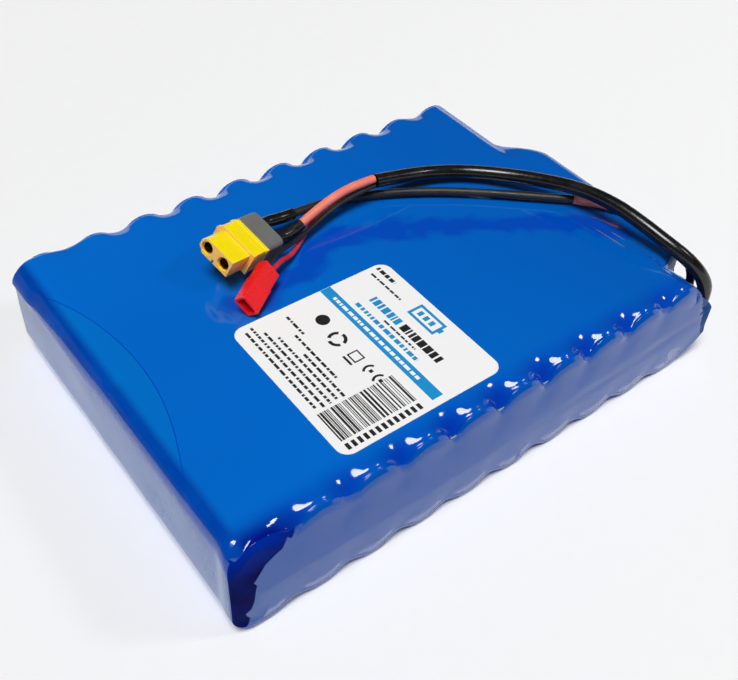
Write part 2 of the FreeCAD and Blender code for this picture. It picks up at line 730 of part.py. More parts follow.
def build_discharge_connector():
    """The two-pole discharge connector: shell, its two sockets and the hood over the solder cups."""
    body = doc.addObject("PartDesign::Body", "discharge_shell")
    shell_end = "(Sizes.plug_depth + Sizes.shell_depth)"
    steps = [
        ("plug", "Sizes.plug_width", "Sizes.plug_height", "Sizes.plug_depth + 1", 0),
        ("shell", "Sizes.shell_width", "Sizes.shell_height", "Sizes.shell_depth", "Sizes.plug_depth"),
        ("front_rim", "Sizes.rim_width", "Sizes.rim_height", "Sizes.rim_depth", "Sizes.plug_depth"),
        ("rear_rim", "Sizes.rim_width", "Sizes.rim_height", "Sizes.rim_depth",
         f"{shell_end} - Sizes.rim_depth"),
    ]
    for name, across, along, depth, offset in steps:
        pad(body, name, rectangle(body, name + "_outline", "YZ_Plane", across, along, offset), depth)
    negative_side = [
        number
        for number in edges_along(body.Shape, AXIS_X)
        if body.Shape.Edges[number - 1].CenterOfMass.y > 0
    ]
    dress(body, "PartDesign::Chamfer", "negative_end", negative_side, Size="Sizes.shell_chamfer")
    for side, title in ((-1, "positive"), (1, "negative")):
        hole = body.newObject("Sketcher::SketchObject", title + "_hole_outline")
        hole.AttachmentSupport = (origin_plane(body, "YZ_Plane"), [""])
        hole.MapMode = "FlatFace"
        hole.addGeometry(Part.Circle(Vector(side * size("contact_spacing") / 2, 0, 0), Vector(0, 0, 1),
                                     size("contact_radius")))
        pocket(body, title + "_hole", hole, f"{shell_end} + 1")
    notch = rectangle(body, "notch_outline", "YZ_Plane", "Sizes.notch_width", "Sizes.notch_height")
    notch.setExpression("AttachmentOffset.Base.y", "-Sizes.plug_height / 2")
    pocket(body, "notch", notch, "Sizes.plug_depth - 1")
    body.Placement = DISCHARGE_PLACE
    finish(body, "discharge_shell")

    hood = doc.addObject("PartDesign::Body", "discharge_hood")
    outline = rectangle(hood, "hood_outline", "YZ_Plane", "Sizes.hood_width", "Sizes.hood_height", shell_end)
    pad(hood, "hood_pad", outline, "Sizes.hood_depth")
    far = size("plug_depth") + size("shell_depth") + size("hood_depth")
    numbers = [
        number
        for number, edge in enumerate(hood.Shape.Edges, start=1)
        if edge.CenterOfMass.x > far - 0.1 or abs(edge.tangentAt(0).x) > 0.9
    ]
    dress(hood, "PartDesign::Fillet", "hood_corners", numbers, Radius="Sizes.hood_radius")
    for side, title in ((-1, "positive"), (1, "negative")):
        hole = hood.newObject("Sketcher::SketchObject", title + "_way_outline")
        hole.AttachmentSupport = (origin_plane(hood, "YZ_Plane"), [""])
        hole.MapMode = "FlatFace"
        hole.addGeometry(Part.Circle(Vector(side * size("contact_spacing") / 2, 0, 0), Vector(0, 0, 1),
                                     size("contact_radius")))
        pocket(hood, title + "_way", hole, f"{shell_end} + Sizes.hood_depth + 1")
    hood.Placement = DISCHARGE_PLACE
    finish(hood, "discharge_hood")

    for side, label in ((-1, "positive_socket"), (1, "negative_socket")):
        y = f"{side} * Sizes.contact_spacing / 2"
        recess = "Sizes.contact_recess"
        barrel = rod(label + "_barrel", "Sizes.contact_radius", "Sizes.contact_length", recess, y, 0, "x")
        bore = rod(label + "_bore", "Sizes.contact_bore", "Sizes.contact_depth", recess, y, 0, "x")
        cup = rod(label + "_cup", "Sizes.contact_bore", "Sizes.cup_depth",
                  f"{recess} + Sizes.contact_length - Sizes.cup_depth", y, 0, "x")
        socket = cut(label, barrel, [bore, cup])
        socket.Placement = DISCHARGE_PLACE
        finish(socket, label)


# ---------------------------------------------------------------- charge connector

def build_charge_connector():
    """The small two-pole charge connector: shrouded shell and its two pins."""
    body = doc.addObject("PartDesign::Body", "charge_shell")
    shroud = rectangle(body, "shroud_outline", "YZ_Plane", "Sizes.inlet_width", "Sizes.inlet_height")
    pad(body, "shroud", shroud, "Sizes.inlet_depth")
    tail = rectangle(body, "tail_outline", "YZ_Plane", "Sizes.inlet_tail_width", "Sizes.inlet_tail_height",
                     "Sizes.inlet_depth")
    pad(body, "tail", tail, "Sizes.inlet_tail_depth")
    dress(body, "PartDesign::Fillet", "long_corners", edges_along(body.Shape, AXIS_X),
          Radius="Sizes.inlet_corner")
    mouth = rectangle(body, "mouth_outline", "YZ_Plane", "Sizes.inlet_width - 2 * Sizes.inlet_wall",
                      "Sizes.inlet_height - 2 * Sizes.inlet_wall")
    pocket(body, "mouth", mouth, "Sizes.inlet_depth")
    body.Placement = CHARGE_PLACE
    finish(body, "charge_shell")

    pins = []
    for side in (-1, 1):
        across = "Sizes.inlet_pin_side"
        pin = block(f"charge_pin_{side + 1}", "Sizes.inlet_pin_reach", across, across,
                    "Sizes.inlet_depth - Sizes.inlet_pin_reach",
                    f"{side} * Sizes.inlet_pin_spacing / 2 - {across} / 2", f"-{across} / 2")
        pins.append(pin)
    both = group("charge_pins", pins)
    both.Placement = CHARGE_PLACE


# ---------------------------------------------------------------- leads

def rounded_path(route):
    """A route's straight runs joined by tangent arcs, and the arcs' radii."""
    points = [Vector(*point) for point in route]
    runs = [(second - first).Length for first, second in zip(points, points[1:])]
    edges, start, radii = [], points[0], []
    for before, corner, after, run_in, run_out in zip(points, points[1:], points[2:], runs, runs[1:]):
        inward = (corner - before).normalize()
        outward = (after - corner).normalize()
        turn = inward.getAngle(outward)
        cut_back = 0.45 * min(run_in, run_out)
        radius = cut_back / math.tan(turn / 2)
        radii.append(radius)
        first = corner - inward * cut_back
        last = corner + outward * cut_back
        bisector = (outward - inward).normalize()
        centre = corner + bisector * math.hypot(cut_back, radius)
        middle = centre - bisector * radius
        edges.append(Part.LineSegment(start, first).toShape())
        edges.append(Part.Arc(first, middle, last).toShape())
        start = last
    edges.append(Part.LineSegment(start, points[-1]).toShape())
    return Part.Wire(edges), radii


def tube(label, route, alias):
    """A lead's plain round body along its route."""
    diameter = size(alias)
    path, radii = rounded_path(route)
    arcs = " ".join(f"{radius / diameter:.1f}" for radius in radii)
    print(f"{label}: {path.Length:.1f} long, arcs {arcs} diameters")
    heading = Vector(*route[1]) - Vector(*route[0])
    outline = Part.Wire(Part.makeCircle(diameter / 2, Vector(*route[0]), heading))
    solid = path.makePipeShell([outline], True, True)
    expected = math.pi * diameter**2 / 4 * path.Length
    if abs(solid.Volume - expected) > 0.01 * expected:
        raise RuntimeError(f"{label}: volume {solid.Volume:.1f}, expected {expected:.1f}")
    lead = doc.addObject("Part::Feature", label)
    lead.Shape = solid
    lead.Placement = Placement()
    return finish(lead, label)


def shrink_route(side, lead):
    """From the hood's rear face, straight out, and then in line with the end of a lead."""
    rear = size("plug_depth") + size("shell_depth") + size("hood_depth")
    y = side * size("contact_spacing") / 2
    before, end = Vector(*lead[-2]), Vector(*lead[-1])
    heading = (end - before).normalize()
    first = DISCHARGE_PLACE.multVec(Vector(rear, y, 0))
    second = DISCHARGE_PLACE.multVec(Vector(rear + SHRINK_STRAIGHT, y, 0))
    return [tuple(point) for point in (first, second, end + heading * SHRINK_OVERLAP, end)]


def splice_sleeve(lead):
    """A short repair sleeve round the negative lead, along the arcs of two of its corners."""
    path = rounded_path(NEGATIVE_ROUTE)[0]
    first, last = SPLICE_CORNERS
    stretch = Part.Wire(path.Edges[2 * first - 1 : 2 * last])
    print(f"splice_sleeve: {stretch.Length:.1f} long")
    begin = stretch.Edges[0]
    outline = Part.Wire(Part.makeCircle(size("splice_diameter") / 2, begin.valueAt(begin.FirstParameter),
                                        begin.tangentAt(begin.FirstParameter)))
    sleeve = doc.addObject("Part::Feature", "splice_sleeve")
    sleeve.Shape = stretch.makePipeShell([outline], True, True).cut(lead.Shape)
    sleeve.Placement = Placement()
    finish(sleeve, "splice_sleeve")


def build_leads():
    """Sleeve, power leads, charge leads, their heat-shrinks and the repair sleeve on the negative lead."""
    tube("lead_sleeve", SLEEVE_ROUTE, "sleeve_diameter")
    negative = tube("negative_lead", NEGATIVE_ROUTE, "power_lead_diameter")
    tube("positive_lead", POSITIVE_ROUTE, "power_lead_diameter")
    tube("charge_lead_black", CHARGE_BLACK_ROUTE, "charge_lead_diameter")
    tube("charge_lead_red", CHARGE_RED_ROUTE, "charge_lead_diameter")
    tube("negative_heat_shrink", shrink_route(1, NEGATIVE_ROUTE), "shrink_diameter")
    tube("positive_heat_shrink", shrink_route(-1, POSITIVE_ROUTE), "shrink_diameter")
    splice_sleeve(negative)


# ---------------------------------------------------------------- the whole pack

build_cells()
build_straps()
build_series_link()
build_insulation()
build_circuit()
build_balance_taps()
build_inner_leads()
build_sleeves()
build_label()
build_discharge_connector()
build_charge_connector()
build_leads()
doc.recompute()

faults = [thing.Name for thing in doc.Objects if {"Invalid", "Error"} & set(thing.State)]
if faults:
    raise RuntimeError(f"not computed: {faults}")
for thing in finished:
    if thing.Shape.isNull() or not thing.Shape.isValid() or not thing.Shape.Solids:
        raise RuntimeError(f"{thing.Label}: its shape is not sound")

os.makedirs("parts", exist_ok=True)
for thing in finished:
    thing.Shape.exportStep(f"parts/{thing.Label}.step")
print(len(finished), "sub-parts")
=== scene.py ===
"""Visual model of a shrink-wrapped scooter battery pack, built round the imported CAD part.

Lengths in the tables below are millimetres in the part's frame; MM turns them into metres.
"""

import math
import random

import bmesh
import bpy
import numpy as np
from mathutils import Matrix, Vector


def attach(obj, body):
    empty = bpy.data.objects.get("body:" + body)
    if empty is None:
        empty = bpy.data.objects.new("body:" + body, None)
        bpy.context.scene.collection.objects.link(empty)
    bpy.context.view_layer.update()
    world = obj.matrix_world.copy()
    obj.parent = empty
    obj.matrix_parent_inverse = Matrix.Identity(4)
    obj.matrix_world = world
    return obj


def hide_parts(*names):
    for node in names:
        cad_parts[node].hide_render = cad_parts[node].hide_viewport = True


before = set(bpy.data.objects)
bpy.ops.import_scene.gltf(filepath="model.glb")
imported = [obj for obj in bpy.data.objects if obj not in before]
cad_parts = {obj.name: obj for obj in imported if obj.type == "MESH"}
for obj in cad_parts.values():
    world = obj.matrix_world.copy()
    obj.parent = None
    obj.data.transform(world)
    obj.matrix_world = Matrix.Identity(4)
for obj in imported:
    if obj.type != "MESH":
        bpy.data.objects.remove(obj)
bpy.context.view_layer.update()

MM = 0.001

# -------- camera

CAMERA_PLACE = (-158.28, -181.98, 246.25)
CAMERA_FORWARD = (0.46142, 0.53375, -0.70867)
CAMERA_UP = (0.39917, 0.58846, 0.70312)
CAMERA_LENS, SENSOR_WIDTH = 47.26, 36

forward, up = Vector(CAMERA_FORWARD), Vector(CAMERA_UP)
right = forward.cross(up)
camera = bpy.data.objects.new("camera", bpy.data.cameras.new("camera"))
turned = Matrix((right, up, -forward)).transposed().to_4x4()
camera.matrix_world = Matrix.Translation(Vector(CAMERA_PLACE) * MM) @ turned
camera.data.lens = CAMERA_LENS
camera.data.sensor_width = SENSOR_WIDTH
camera.data.clip_start = 0.01
bpy.context.scene.collection.objects.link(camera)
bpy.context.scene.camera = camera

# -------- materials


class Shader:
    """A node material with a few short ways to add to it."""

    def __init__(self, name, colour, roughness, **settings):
        self.material = bpy.data.materials.new(name)
        self.material.use_nodes = True
        self.tree = self.material.node_tree
        self.surface = self.tree.nodes["Principled BSDF"]
        self.material.diffuse_color = (*colour, 1)
        self.set("Base Color", (*colour, 1))
        self.set("Roughness", roughness)
        for key, value in settings.items():
            self.set(key.replace("_", " "), value)
        self.bump_input = None

    def set(self, socket, value):
        self.surface.inputs[socket].default_value = value

    def node(self, kind, **inputs):
        node = self.tree.nodes.new(kind)
        for key, value in inputs.items():
            self.put(node.inputs[key.replace("_", " ")], value)
        return node

    def put(self, socket, value):
        """Links an output, or sets a plain value."""
        if isinstance(value, bpy.types.NodeSocket):
            self.tree.links.new(value, socket)
        else:
            socket.default_value = value

    def place(self):
        return self.node("ShaderNodeTexCoord").outputs["Object"]

    def across(self, axis):
        return self.node("ShaderNodeSeparateXYZ", Vector=self.place()).outputs[axis]

    def stretched(self, scale):
        return self.node("ShaderNodeMapping", Vector=self.place(), Scale=scale).outputs["Vector"]

    def noise(self, scale, detail=2.0, roughness=0.5, where=None):
        node = self.node("ShaderNodeTexNoise", Vector=where or self.place(), Scale=scale, Detail=detail,
                         Roughness=roughness)
        return node.outputs["Fac"]

    def ramp(self, value, low, high, from_low=0.0, from_high=1.0):
        """Goes from low to high while the value goes from from_low to from_high."""
        node = self.node("ShaderNodeMapRange", Value=value, From_Min=from_low, From_Max=from_high, To_Min=low,
                         To_Max=high)
        return node.outputs["Result"]

    def math(self, operation, first, second=0.0):
        node = self.tree.nodes.new("ShaderNodeMath")
        node.operation = operation
        self.put(node.inputs[0], first)
        self.put(node.inputs[1], second)
        return node.outputs["Value"]

    def attribute(self, name):
        node = self.tree.nodes.new("ShaderNodeAttribute")
        node.attribute_name = name
        return node.outputs["Fac"]

    def stroke(self, start, finish, width_mm):
        """1 along a straight line on the top, given in millimetres, and 0 beside it and past its ends."""
        start, finish = Vector((*start, 0)), Vector((*finish, 0))
        length = (finish - start).length * MM
        unit = (finish - start).normalized()
        values = []
        for direction in (unit, Vector((-unit.y, unit.x, 0))):
            node = self.tree.nodes.new("ShaderNodeVectorMath")
            node.operation = "DOT_PRODUCT"
            self.put(node.inputs[0], self.place())
            node.inputs[1].default_value = direction
            values.append(self.math("SUBTRACT", node.outputs["Value"], direction.dot(start) * MM))
        along, beside = values
        beside = self.ramp(self.math("ABSOLUTE", beside), 1, 0, 0, width_mm * MM)
        begun = self.ramp(along, 0, 1, 0, 0.2 * length)
        left = self.ramp(along, 1, 0, 0.8 * length, length)
        return self.math("MULTIPLY", beside, self.math("MULTIPLY", begun, left))

    def mix(self, factor, first, second):
        node = self.tree.nodes.new("ShaderNodeMix")
        node.data_type = "RGBA"
        self.put(node.inputs[0], factor)
        for socket, value in ((node.inputs[6], first), (node.inputs[7], second)):
            self.put(socket, value if isinstance(value, bpy.types.NodeSocket) else (*value, 1))
        return node.outputs[2]

    def colour(self, value):
        self.put(self.surface.inputs["Base Color"], value)
        return self

    def rough(self, value):
        self.put(self.surface.inputs["Roughness"], value)
        return self

    def bump(self, height, distance_mm):
        node = self.node("ShaderNodeBump", Strength=1.0, Distance=distance_mm * MM, Height=height)
        if self.bump_input is not None:
            self.tree.links.new(self.bump_input, node.inputs["Normal"])
        self.bump_input = node.outputs["Normal"]
        self.put(self.surface.inputs["Normal"], self.bump_input)
        return self


def moulded(name, colour, roughness=0.35, variation=0.12, grain=0.02, upright_shade=None):
    """Moulded plastic: faint flow marks in its colour, a fine grain and uneven gloss.

    Upright faces may get a colour of their own and a share of it: painted shade that stands in for the dimmer, warmer
    light on them.
    """
    made = Shader(name, colour, roughness)
    flow = made.noise(140, 4, 0.6)
    shade = made.mix(made.ramp(flow, 0, variation, 0.35, 0.75), colour, tuple(c * 0.55 for c in colour))
    if upright_shade:
        normal = made.node("ShaderNodeNewGeometry").outputs["Normal"]
        facing = made.node("ShaderNodeSeparateXYZ", Vector=normal).outputs["Z"]
        shade = made.mix(made.ramp(facing, upright_shade[1], 0, 0.25, 0.6), shade, upright_shade[0])
    made.colour(shade)
    made.rough(made.ramp(made.noise(320, 3), roughness * 0.8, roughness * 1.3, 0.3, 0.7))
    made.bump(made.noise(2600, 3), grain)
    return made.material


def plated(name, colour, roughness=0.25, brush=(1, 1, 1)):
    """Plated or brushed metal with drawn streaks and faint tarnish."""
    made = Shader(name, colour, roughness, Metallic=1.0)
    streaks = made.noise(900, 4, 0.7, made.stretched(brush))
    tarnish = made.noise(160, 3)
    made.colour(made.mix(made.ramp(tarnish, 0, 0.5, 0.4, 0.7), colour, tuple(c * 0.6 for c in colour)))
    made.rough(made.ramp(streaks, roughness * 0.7, roughness * 1.5, 0.3, 0.7))
    made.bump(streaks, 0.01)
    return made.material


def fibrous(name, colour, weave_mm=1.2):
    """Board or paper: crossed fibres under a thin finish."""
    made = Shader(name, colour, 0.6)
    over = made.noise(1000 / weave_mm, 3, 0.6, made.stretched((1, 6, 1)))
    under = made.noise(1000 / weave_mm, 3, 0.6, made.stretched((6, 1, 1)))
    fibres = made.math("MULTIPLY", over, under)
    made.colour(made.mix(made.ramp(fibres, 0, 0.6, 0.1, 0.5), colour, tuple(c * 0.6 for c in colour)))
    made.bump(fibres, 0.05)
    return made.material


def insulation(name, colour, roughness, dust_and_sheen, drag_mm=9.0):
    """Lead insulation: paler in patches, for dust and handling marks and as painted sheen, with a fine grain and
    uneven gloss.
    """
    made = Shader(name, colour, roughness)
    marks = made.noise(1000 / drag_mm, 4, 0.65)
    pale = tuple(c + dust_and_sheen * (1 - c) for c in colour)
    made.colour(made.mix(made.ramp(marks, 0, 1, 0.42, 0.8), colour, pale))
    made.rough(made.ramp(made.noise(420, 3), roughness * 0.8, roughness * 1.35, 0.3, 0.7))
    made.bump(made.noise(2200, 4), 0.02)
    return made.material


INNER_BLUE = (0.0, 0.155, 0.55)
# Creases pressed into the top near the leads and painted darker as shade, and their width in millimetres.
CREASES = (((75.5, -24.5), (77.1, -42.0)), ((79.0, -30.5), (79.9, -37.5)), ((79.9, -46.5), (81.3, -56.9)))
CREASE_MARK = 0.35


def film():
    """The blue PVC film: deep where it gathers at the corner, greener where only the inner layer shows, with painted
    shade on its rims, sides, creases and towards the board end, and the leads' painted shadow beside them.
    """
    made = Shader("shrink_film", (0.0, 0.13, 0.58), 0.07, IOR=1.52)
    bright = made.mix(made.ramp(made.noise(9, 2), 0, 1, 0.3, 0.7), (0.0, 0.128, 0.56), (0.0, 0.148, 0.62))
    # Painted shade: the top turns darker towards the board end.
    bright = made.mix(made.ramp(made.across("X"), 0, 1, -0.06, 0.07), bright, (0.0, 0.105, 0.48))
    # Painted shadow and reflection of the leads: a deeper blue in a band beside their route, with a wavering edge.
    wavering = made.math("ADD", made.attribute("band"), made.ramp(made.noise(95, 3), -3.0, 3.0, 0.3, 0.7))
    blue = made.mix(made.ramp(wavering, 0.75, 0, 3.0, 6.5), bright, (0.0, 0.05, 0.47))
    # The gathered corner's own deeper blue, with painted shade along the near rim, deeper in its valleys.
    for layer, colour in (("gathered_and_rim_shade", (0.0, 0.035, 0.40)), ("corner", (0.0, 0.006, 0.22)),
                          # Painted shade: the long sides and the plain end darker, the near side a little more.
                          ("side", (0.0, 0.085, 0.34)), ("near_side_shade", (0.0, 0.07, 0.36))):
        blue = made.mix(made.attribute(layer), blue, colour)
    into = made.attribute("into_film")
    on_top = made.attribute("on_top")
    bare = made.math("MULTIPLY", made.ramp(into, 1, 0, -0.15, 0.15), on_top)
    line = made.math("MULTIPLY", made.ramp(made.math("ABSOLUTE", into), 1, 0, 0.06, 0.20), on_top)
    blue = made.mix(made.math("MULTIPLY", bare, 0.8), blue, INNER_BLUE)
    blue = made.mix(line, blue, (0.0, 0.045, 0.42))
    # Painted shade along the plain end's upper rim.
    blue = made.mix(made.attribute("plain_rim_shade"), blue, (0.0, 0.058, 0.37))
    marks = made.stroke(*CREASES[0], CREASE_MARK)
    for crease in CREASES[1:]:
        marks = made.math("MAXIMUM", marks, made.stroke(*crease, CREASE_MARK))
    # Painted shade in the creases.
    blue = made.mix(made.math("MULTIPLY", marks, 0.6), blue, (0.0, 0.02, 0.22))
    made.colour(blue)
    made.rough(made.ramp(made.noise(60, 4, 0.6), 0.045, 0.11, 0.3, 0.75))
    made.bump(made.noise(110, 3, 0.5), 0.06)
    made.bump(made.noise(900, 2), 0.004)
    made.bump(marks, -0.15)
    return made.material


def layered(name, middle, roughness, shine, scale, deep, pale, bump_mm, above=None):
    """The same film, duller than the rest: in several layers, or as painted shade; above is its colour near the top.
    """
    made = Shader(name, middle, roughness, IOR=shine)
    blue = made.mix(made.ramp(made.noise(scale, 3), 0, 1, 0.35, 0.7), deep, pale)
    if above:
        blue = made.mix(made.ramp(made.across("Z"), 0, 1, 0.026, 0.037), blue, above)
    made.colour(blue)
    made.bump(made.noise(180, 3, 0.6), bump_mm)
    return made.material


FILM = film()
# Gathered into several layers at one corner; dull dark copies as painted shade where it slopes over the leads' tunnel
# and under the leads, and along the plain end's upper edge.
GATHERED = layered("shrink_film_gathered", (0.0, 0.004, 0.085), 0.2, 1.06, 120, (0.0, 0.002, 0.06),
                   (0.0, 0.006, 0.12), 0.08, (0.0, 0.022, 0.30))
TUNNEL_SHADE_FILM = layered("shrink_film_tunnel_shade", (0.0, 0.055, 0.24), 0.3, 1.08, 90, (0.0, 0.045, 0.21), (0.0, 0.07, 0.29), 0.06)
RIM_SHADE_FILM = layered("shrink_film_rim_shade", (0.0, 0.058, 0.37), 0.12, 1.12, 60, (0.0, 0.050, 0.34), (0.0, 0.066, 0.41),
                  0.05)
# The shell's upright faces are painted a warmer, darker tan as shade.
SHELL_YELLOW = moulded("connector_yellow", (1.0, 0.78, 0.004), 0.32, upright_shade=((1.0, 0.52, 0.12), 0.85))
HOOD_GREY = moulded("connector_grey", (0.165, 0.165, 0.155), 0.5, 0.3, 0.04)
SHELL_RED = moulded("connector_red", (0.95, 0.008, 0.012), 0.3, 0.2)
GOLD = plated("gold_contact", (0.80, 0.47, 0.16), 0.22)
TINNED = plated("tinned_pin", (0.70, 0.70, 0.68), 0.3)
SLEEVING = insulation("sleeving", (0.006, 0.0055, 0.006), 0.2, 0.015)
BLACK_LEAD = insulation("silicone_black", (0.010, 0.009, 0.010), 0.42, 0.03)
RED_LEAD = insulation("silicone_red", (0.86, 0.20, 0.13), 0.45, 0.10)
THIN_BLACK = insulation("thin_lead_black", (0.010, 0.010, 0.011), 0.33, 0.03)
THIN_RED = insulation("thin_lead_red", (0.62, 0.016, 0.03), 0.35, 0.06)
SHRINK_BLACK = insulation("heat_shrink_black", (0.006, 0.006, 0.006), 0.2, 0.03, 5)
SHRINK_RED = insulation("heat_shrink_red", (0.80, 0.24, 0.17), 0.35, 0.08, 5)

# -------- mesh helpers


def piece(name, vertices, faces, material, smooth=True):
    """A mesh object in the part's frame, from millimetres."""
    mesh = bpy.data.meshes.new(name)
    mesh.from_pydata([tuple(c * MM for c in v) for v in vertices], [], [tuple(f) for f in faces])
    mesh.materials.append(material)
    mesh.polygons.foreach_set("use_smooth", [smooth] * len(mesh.polygons))
    mesh.update()
    made = bpy.data.objects.new(name, mesh)
    bpy.context.scene.collection.objects.link(made)
    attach(made, "root")
    return made


def smoothstep(low, high, value):
    """0 below low, 1 above high and smooth between; works on arrays."""
    t = np.clip((value - low) / (high - low), 0, 1)
    return t * t * (3 - 2 * t)


def spaced(low, high, step, rim):
    """Places from low to high, closer together near both ends, where they follow the rim's distances."""
    start, finish = low + rim[-1], high - rim[-1]
    count = max(2, round((finish - start) / step))
    middle = [start + (finish - start) * k / count for k in range(1, count)]
    return np.array([low + r for r in rim] + middle + [high - r for r in reversed(rim)])


# -------- shrink wrap

# The box that the film starts from, the radius of its two ends and those of its long sides' rims.
LOW_X, HIGH_X = -98.3, 88.9
HALF_Y, HEIGHT = 67.9, 39.1
CENTRE = np.array([(LOW_X + HIGH_X) / 2, HEIGHT / 2])
HALF = np.array([(HIGH_X - LOW_X) / 2, HEIGHT / 2])
END_RADIUS = 8.9
RIM_RADIUS, TOP_RIM_EXTRA, BOARD_END_RIM_LESS = 2.0, 2.0, 1.2
# The grid on it: its steps along X, Y and Z, and how its rows close up towards the edges.
STEPS = (0.93, 1.3, 1.1)
WIDE_RIM = (0, 0.35, 0.8, 1.3, 1.9, 2.6, 3.5)
FINE_RIM = (0, 0.35, 0.8, 1.3, 1.9, 2.6, 3.4, 4.2)
TINY = 1e-6

# The columns of cells, and how deep the film sags between them along three of its edges.
PITCH, GRID_X, LAST_COLUMN = 18.4, -4.7, 9
VALLEYS = [GRID_X + PITCH * (k - 4) for k in range(LAST_COLUMN)]
NEAR_DEPTHS = (2.6, 3.2, 3.8, 4.4, 4.6, 4.4, 4.0, 3.6, 2.6)
FAR_DEPTHS = (1.2, 2.4, 3.0, 3.6, 3.9, 4.1, 3.8, 3.3, 2.0)
LOW_DEPTHS = (2.0, 2.6, 2.8, 2.4, 2.8, 3.0, 2.6, 2.8, 2.0)
FIRST_CELL, LAST_CELL = GRID_X - 4.5 * PITCH, GRID_X + 4.5 * PITCH
CELL_RADIUS, LOW_LAYER, HIGH_LAYER, CELL_END = 9.15, 10.35, 28.75, 65.6
# The film's least distance from the cells, and how fast that is given up past their ends.
COVER, COVER_FALL = 0.28, 1.2
# The flat boards under the film: their reach, and the heights that the film keeps above and below.
BOARD_X, BOARD_Y, OVER_BOARD, UNDER_BOARD = (-89, 79.6), 58.8, 38.58, 0.52

# The gathered corner's edge on the near side: (height, x). One grid column is slid to it, and columns as far as
# SEAM_REACH follow.
SEAM_COLUMN, SEAM_REACH = -87.0, -60.0
SEAM = ((0, -97.0), (4.9, -94.4), (10.0, -93.1), (13.8, -91.8), (19.2, -91.1), (21.2, -90.3), (22.6, -91.7),
        (24.0, -90.4), (25.8, -89.2), (28.6, -87.3), (30.2, -84.4), (31.8, -81.6), (34.0, -79.0), (39.1, -77.0))
# The edge of the deep-blue rim of painted shade over the plain end: the grid row that is slid to it, the lowest row
# that follows, and its height for each y.
RIM_ROW, RIM_FOOT = HEIGHT - 4.2, 28
RIM_Y, RIM_Z = (-60, -28, 0, 12, 30, 52, 60), (37.0, 36.5, 35.8, 35.0, 34.0, 31.5, 31.0)

# The creases and pinholes of the long sides.
CREASE_Z, CREASE_RISE, CREASE_WIDTH = 16.5, 0.03, 2.6
PINHOLES = ((85.5, 23.3), (91.3, 20.2))
DEEPEST_SAG = 1.75

# The tent over the end's board, and the leads' tunnel beside it: how far out it is at each height on the near
# side, and the fold where its facet begins.
TENT_REACH, TENT_Z, TENT_HALF = 9.4, 19.5, 19.7
TUNNEL_MIDDLE, TUNNEL_HALF = 13.5, 15.5
TUNNEL_Z, TUNNEL_REACH = (0, 4, 7, 10, 21, 24, 27, 29.5, 31), (0, 0.3, 0.7, 1.0, 1.0, 0.74, 0.40, 0.12, 0)
FOLD_Z, FOLD_X = (7, 11, 17.5, 25.4, 33.9, 37), (96, 94.5, 92.0, 89.4, 85.8, 84.6)

# The curved end of the outer film on the top, the step down from it and the nick in its edge.
ARC_RADIUS, ARC_DEPTH, ARC_MIDDLE = 91.0, 14.0, 4.0
INNER_STEP, PLAIN_END_RECESS = 0.28, 0.7
NICK_X, NICK_Y, NICK_DEPTH = -93.5, 2, 0.9
# The flat place under the label, and the depth of the swells beside it.
FLAT_MIDDLE, FLAT_REACH, SWELL = (-27, -29), (33, 32), 0.22
# The cut across the corner nearest to the label's barcode: its normal, and how far out along it the cut is.
CUT_NORMAL, CUT_PLACE = (-0.20, -0.98), 84.54
# The middle of the deeper-coloured band on the top beside the leads' route: painted shadow and reflection of the
# leads.
LEAD_SHADE_LINE = ((-50, 12), (-44, 8), (-30, 9.5), (-20, 13.5), (-8, 17.5), (4, 17), (18, 11), (40, -1), (61, -14), (75, -23),
        (88, -36))
FAR_FROM_LEAD_SHADE = 20


def wrap_grid():
    """Vertices on the box that the film starts from, as (x, z, y), and its faces."""
    xs, ys, zs = (spaced(low, high, step, rim) for low, high, step, rim in (
        (LOW_X, HIGH_X, STEPS[0], WIDE_RIM), (-HALF_Y, HALF_Y, STEPS[1], FINE_RIM), (0, HEIGHT, STEPS[2], FINE_RIM)))
    xs[np.abs(xs - SEAM_COLUMN).argmin()] = SEAM_COLUMN
    points, numbers, faces = [], {}, []

    def vertex(i, j, k):
        key = (i, j, k)
        if key not in numbers:
            numbers[key] = len(points)
            points.append((xs[i], zs[k], ys[j]))
        return numbers[key]

    def sheets(first, second, corner, ends):
        """Two opposite sides of the box; the second value for an end turns its faces over."""
        for end, turned in ends:
            for a in range(first):
                for b in range(second):
                    ring = [corner(end, *place) for place in ((a, b), (a + 1, b), (a + 1, b + 1), (a, b + 1))]
                    faces.append(ring[::-1] if turned else ring)

    last_i, last_j, last_k = len(xs) - 1, len(ys) - 1, len(zs) - 1
    sheets(last_i, last_j, lambda k, i, j: vertex(i, j, k), ((0, True), (last_k, False)))
    sheets(last_i, last_k, lambda j, i, k: vertex(i, j, k), ((0, False), (last_j, True)))
    sheets(last_j, last_k, vertex, ((0, True), (last_i, False)))
    return np.array(points), faces


def hat(value, low, peak, high):
    """1 at the peak, falling straight to 0 at low and at high."""
    return np.clip(np.minimum((value - low) / (peak - low), (high - value) / (high - peak)), 0, 1)


def dome(value, middle, half, power):
    """1 around the middle and 0 from half away; the higher the power, the flatter."""
    return np.clip(1 - np.abs((value - middle) / half) ** power, 0, 1)


def bell(value, middle, width):
    return np.exp(-((value - middle) / width) ** 2)


def slide_rows(grid):
    """Slides a column to the gathered corner's edge and a row to the deep-blue rim's edge."""
    slid = grid.copy()
    seam = np.interp(grid[:, 1], *zip(*SEAM))
    share = hat(grid[:, 0], LOW_X, SEAM_COLUMN, SEAM_REACH)
    slid[:, 0] += share * (seam - SEAM_COLUMN) * smoothstep(-60, -67, grid[:, 2])
    rim = np.interp(grid[:, 2], RIM_Y, RIM_Z)
    share = hat(grid[:, 1], RIM_FOOT, RIM_ROW, HEIGHT)
    slid[:, 1] += share * (rim - RIM_ROW) * smoothstep(-86, -91, grid[:, 0])
    return slid


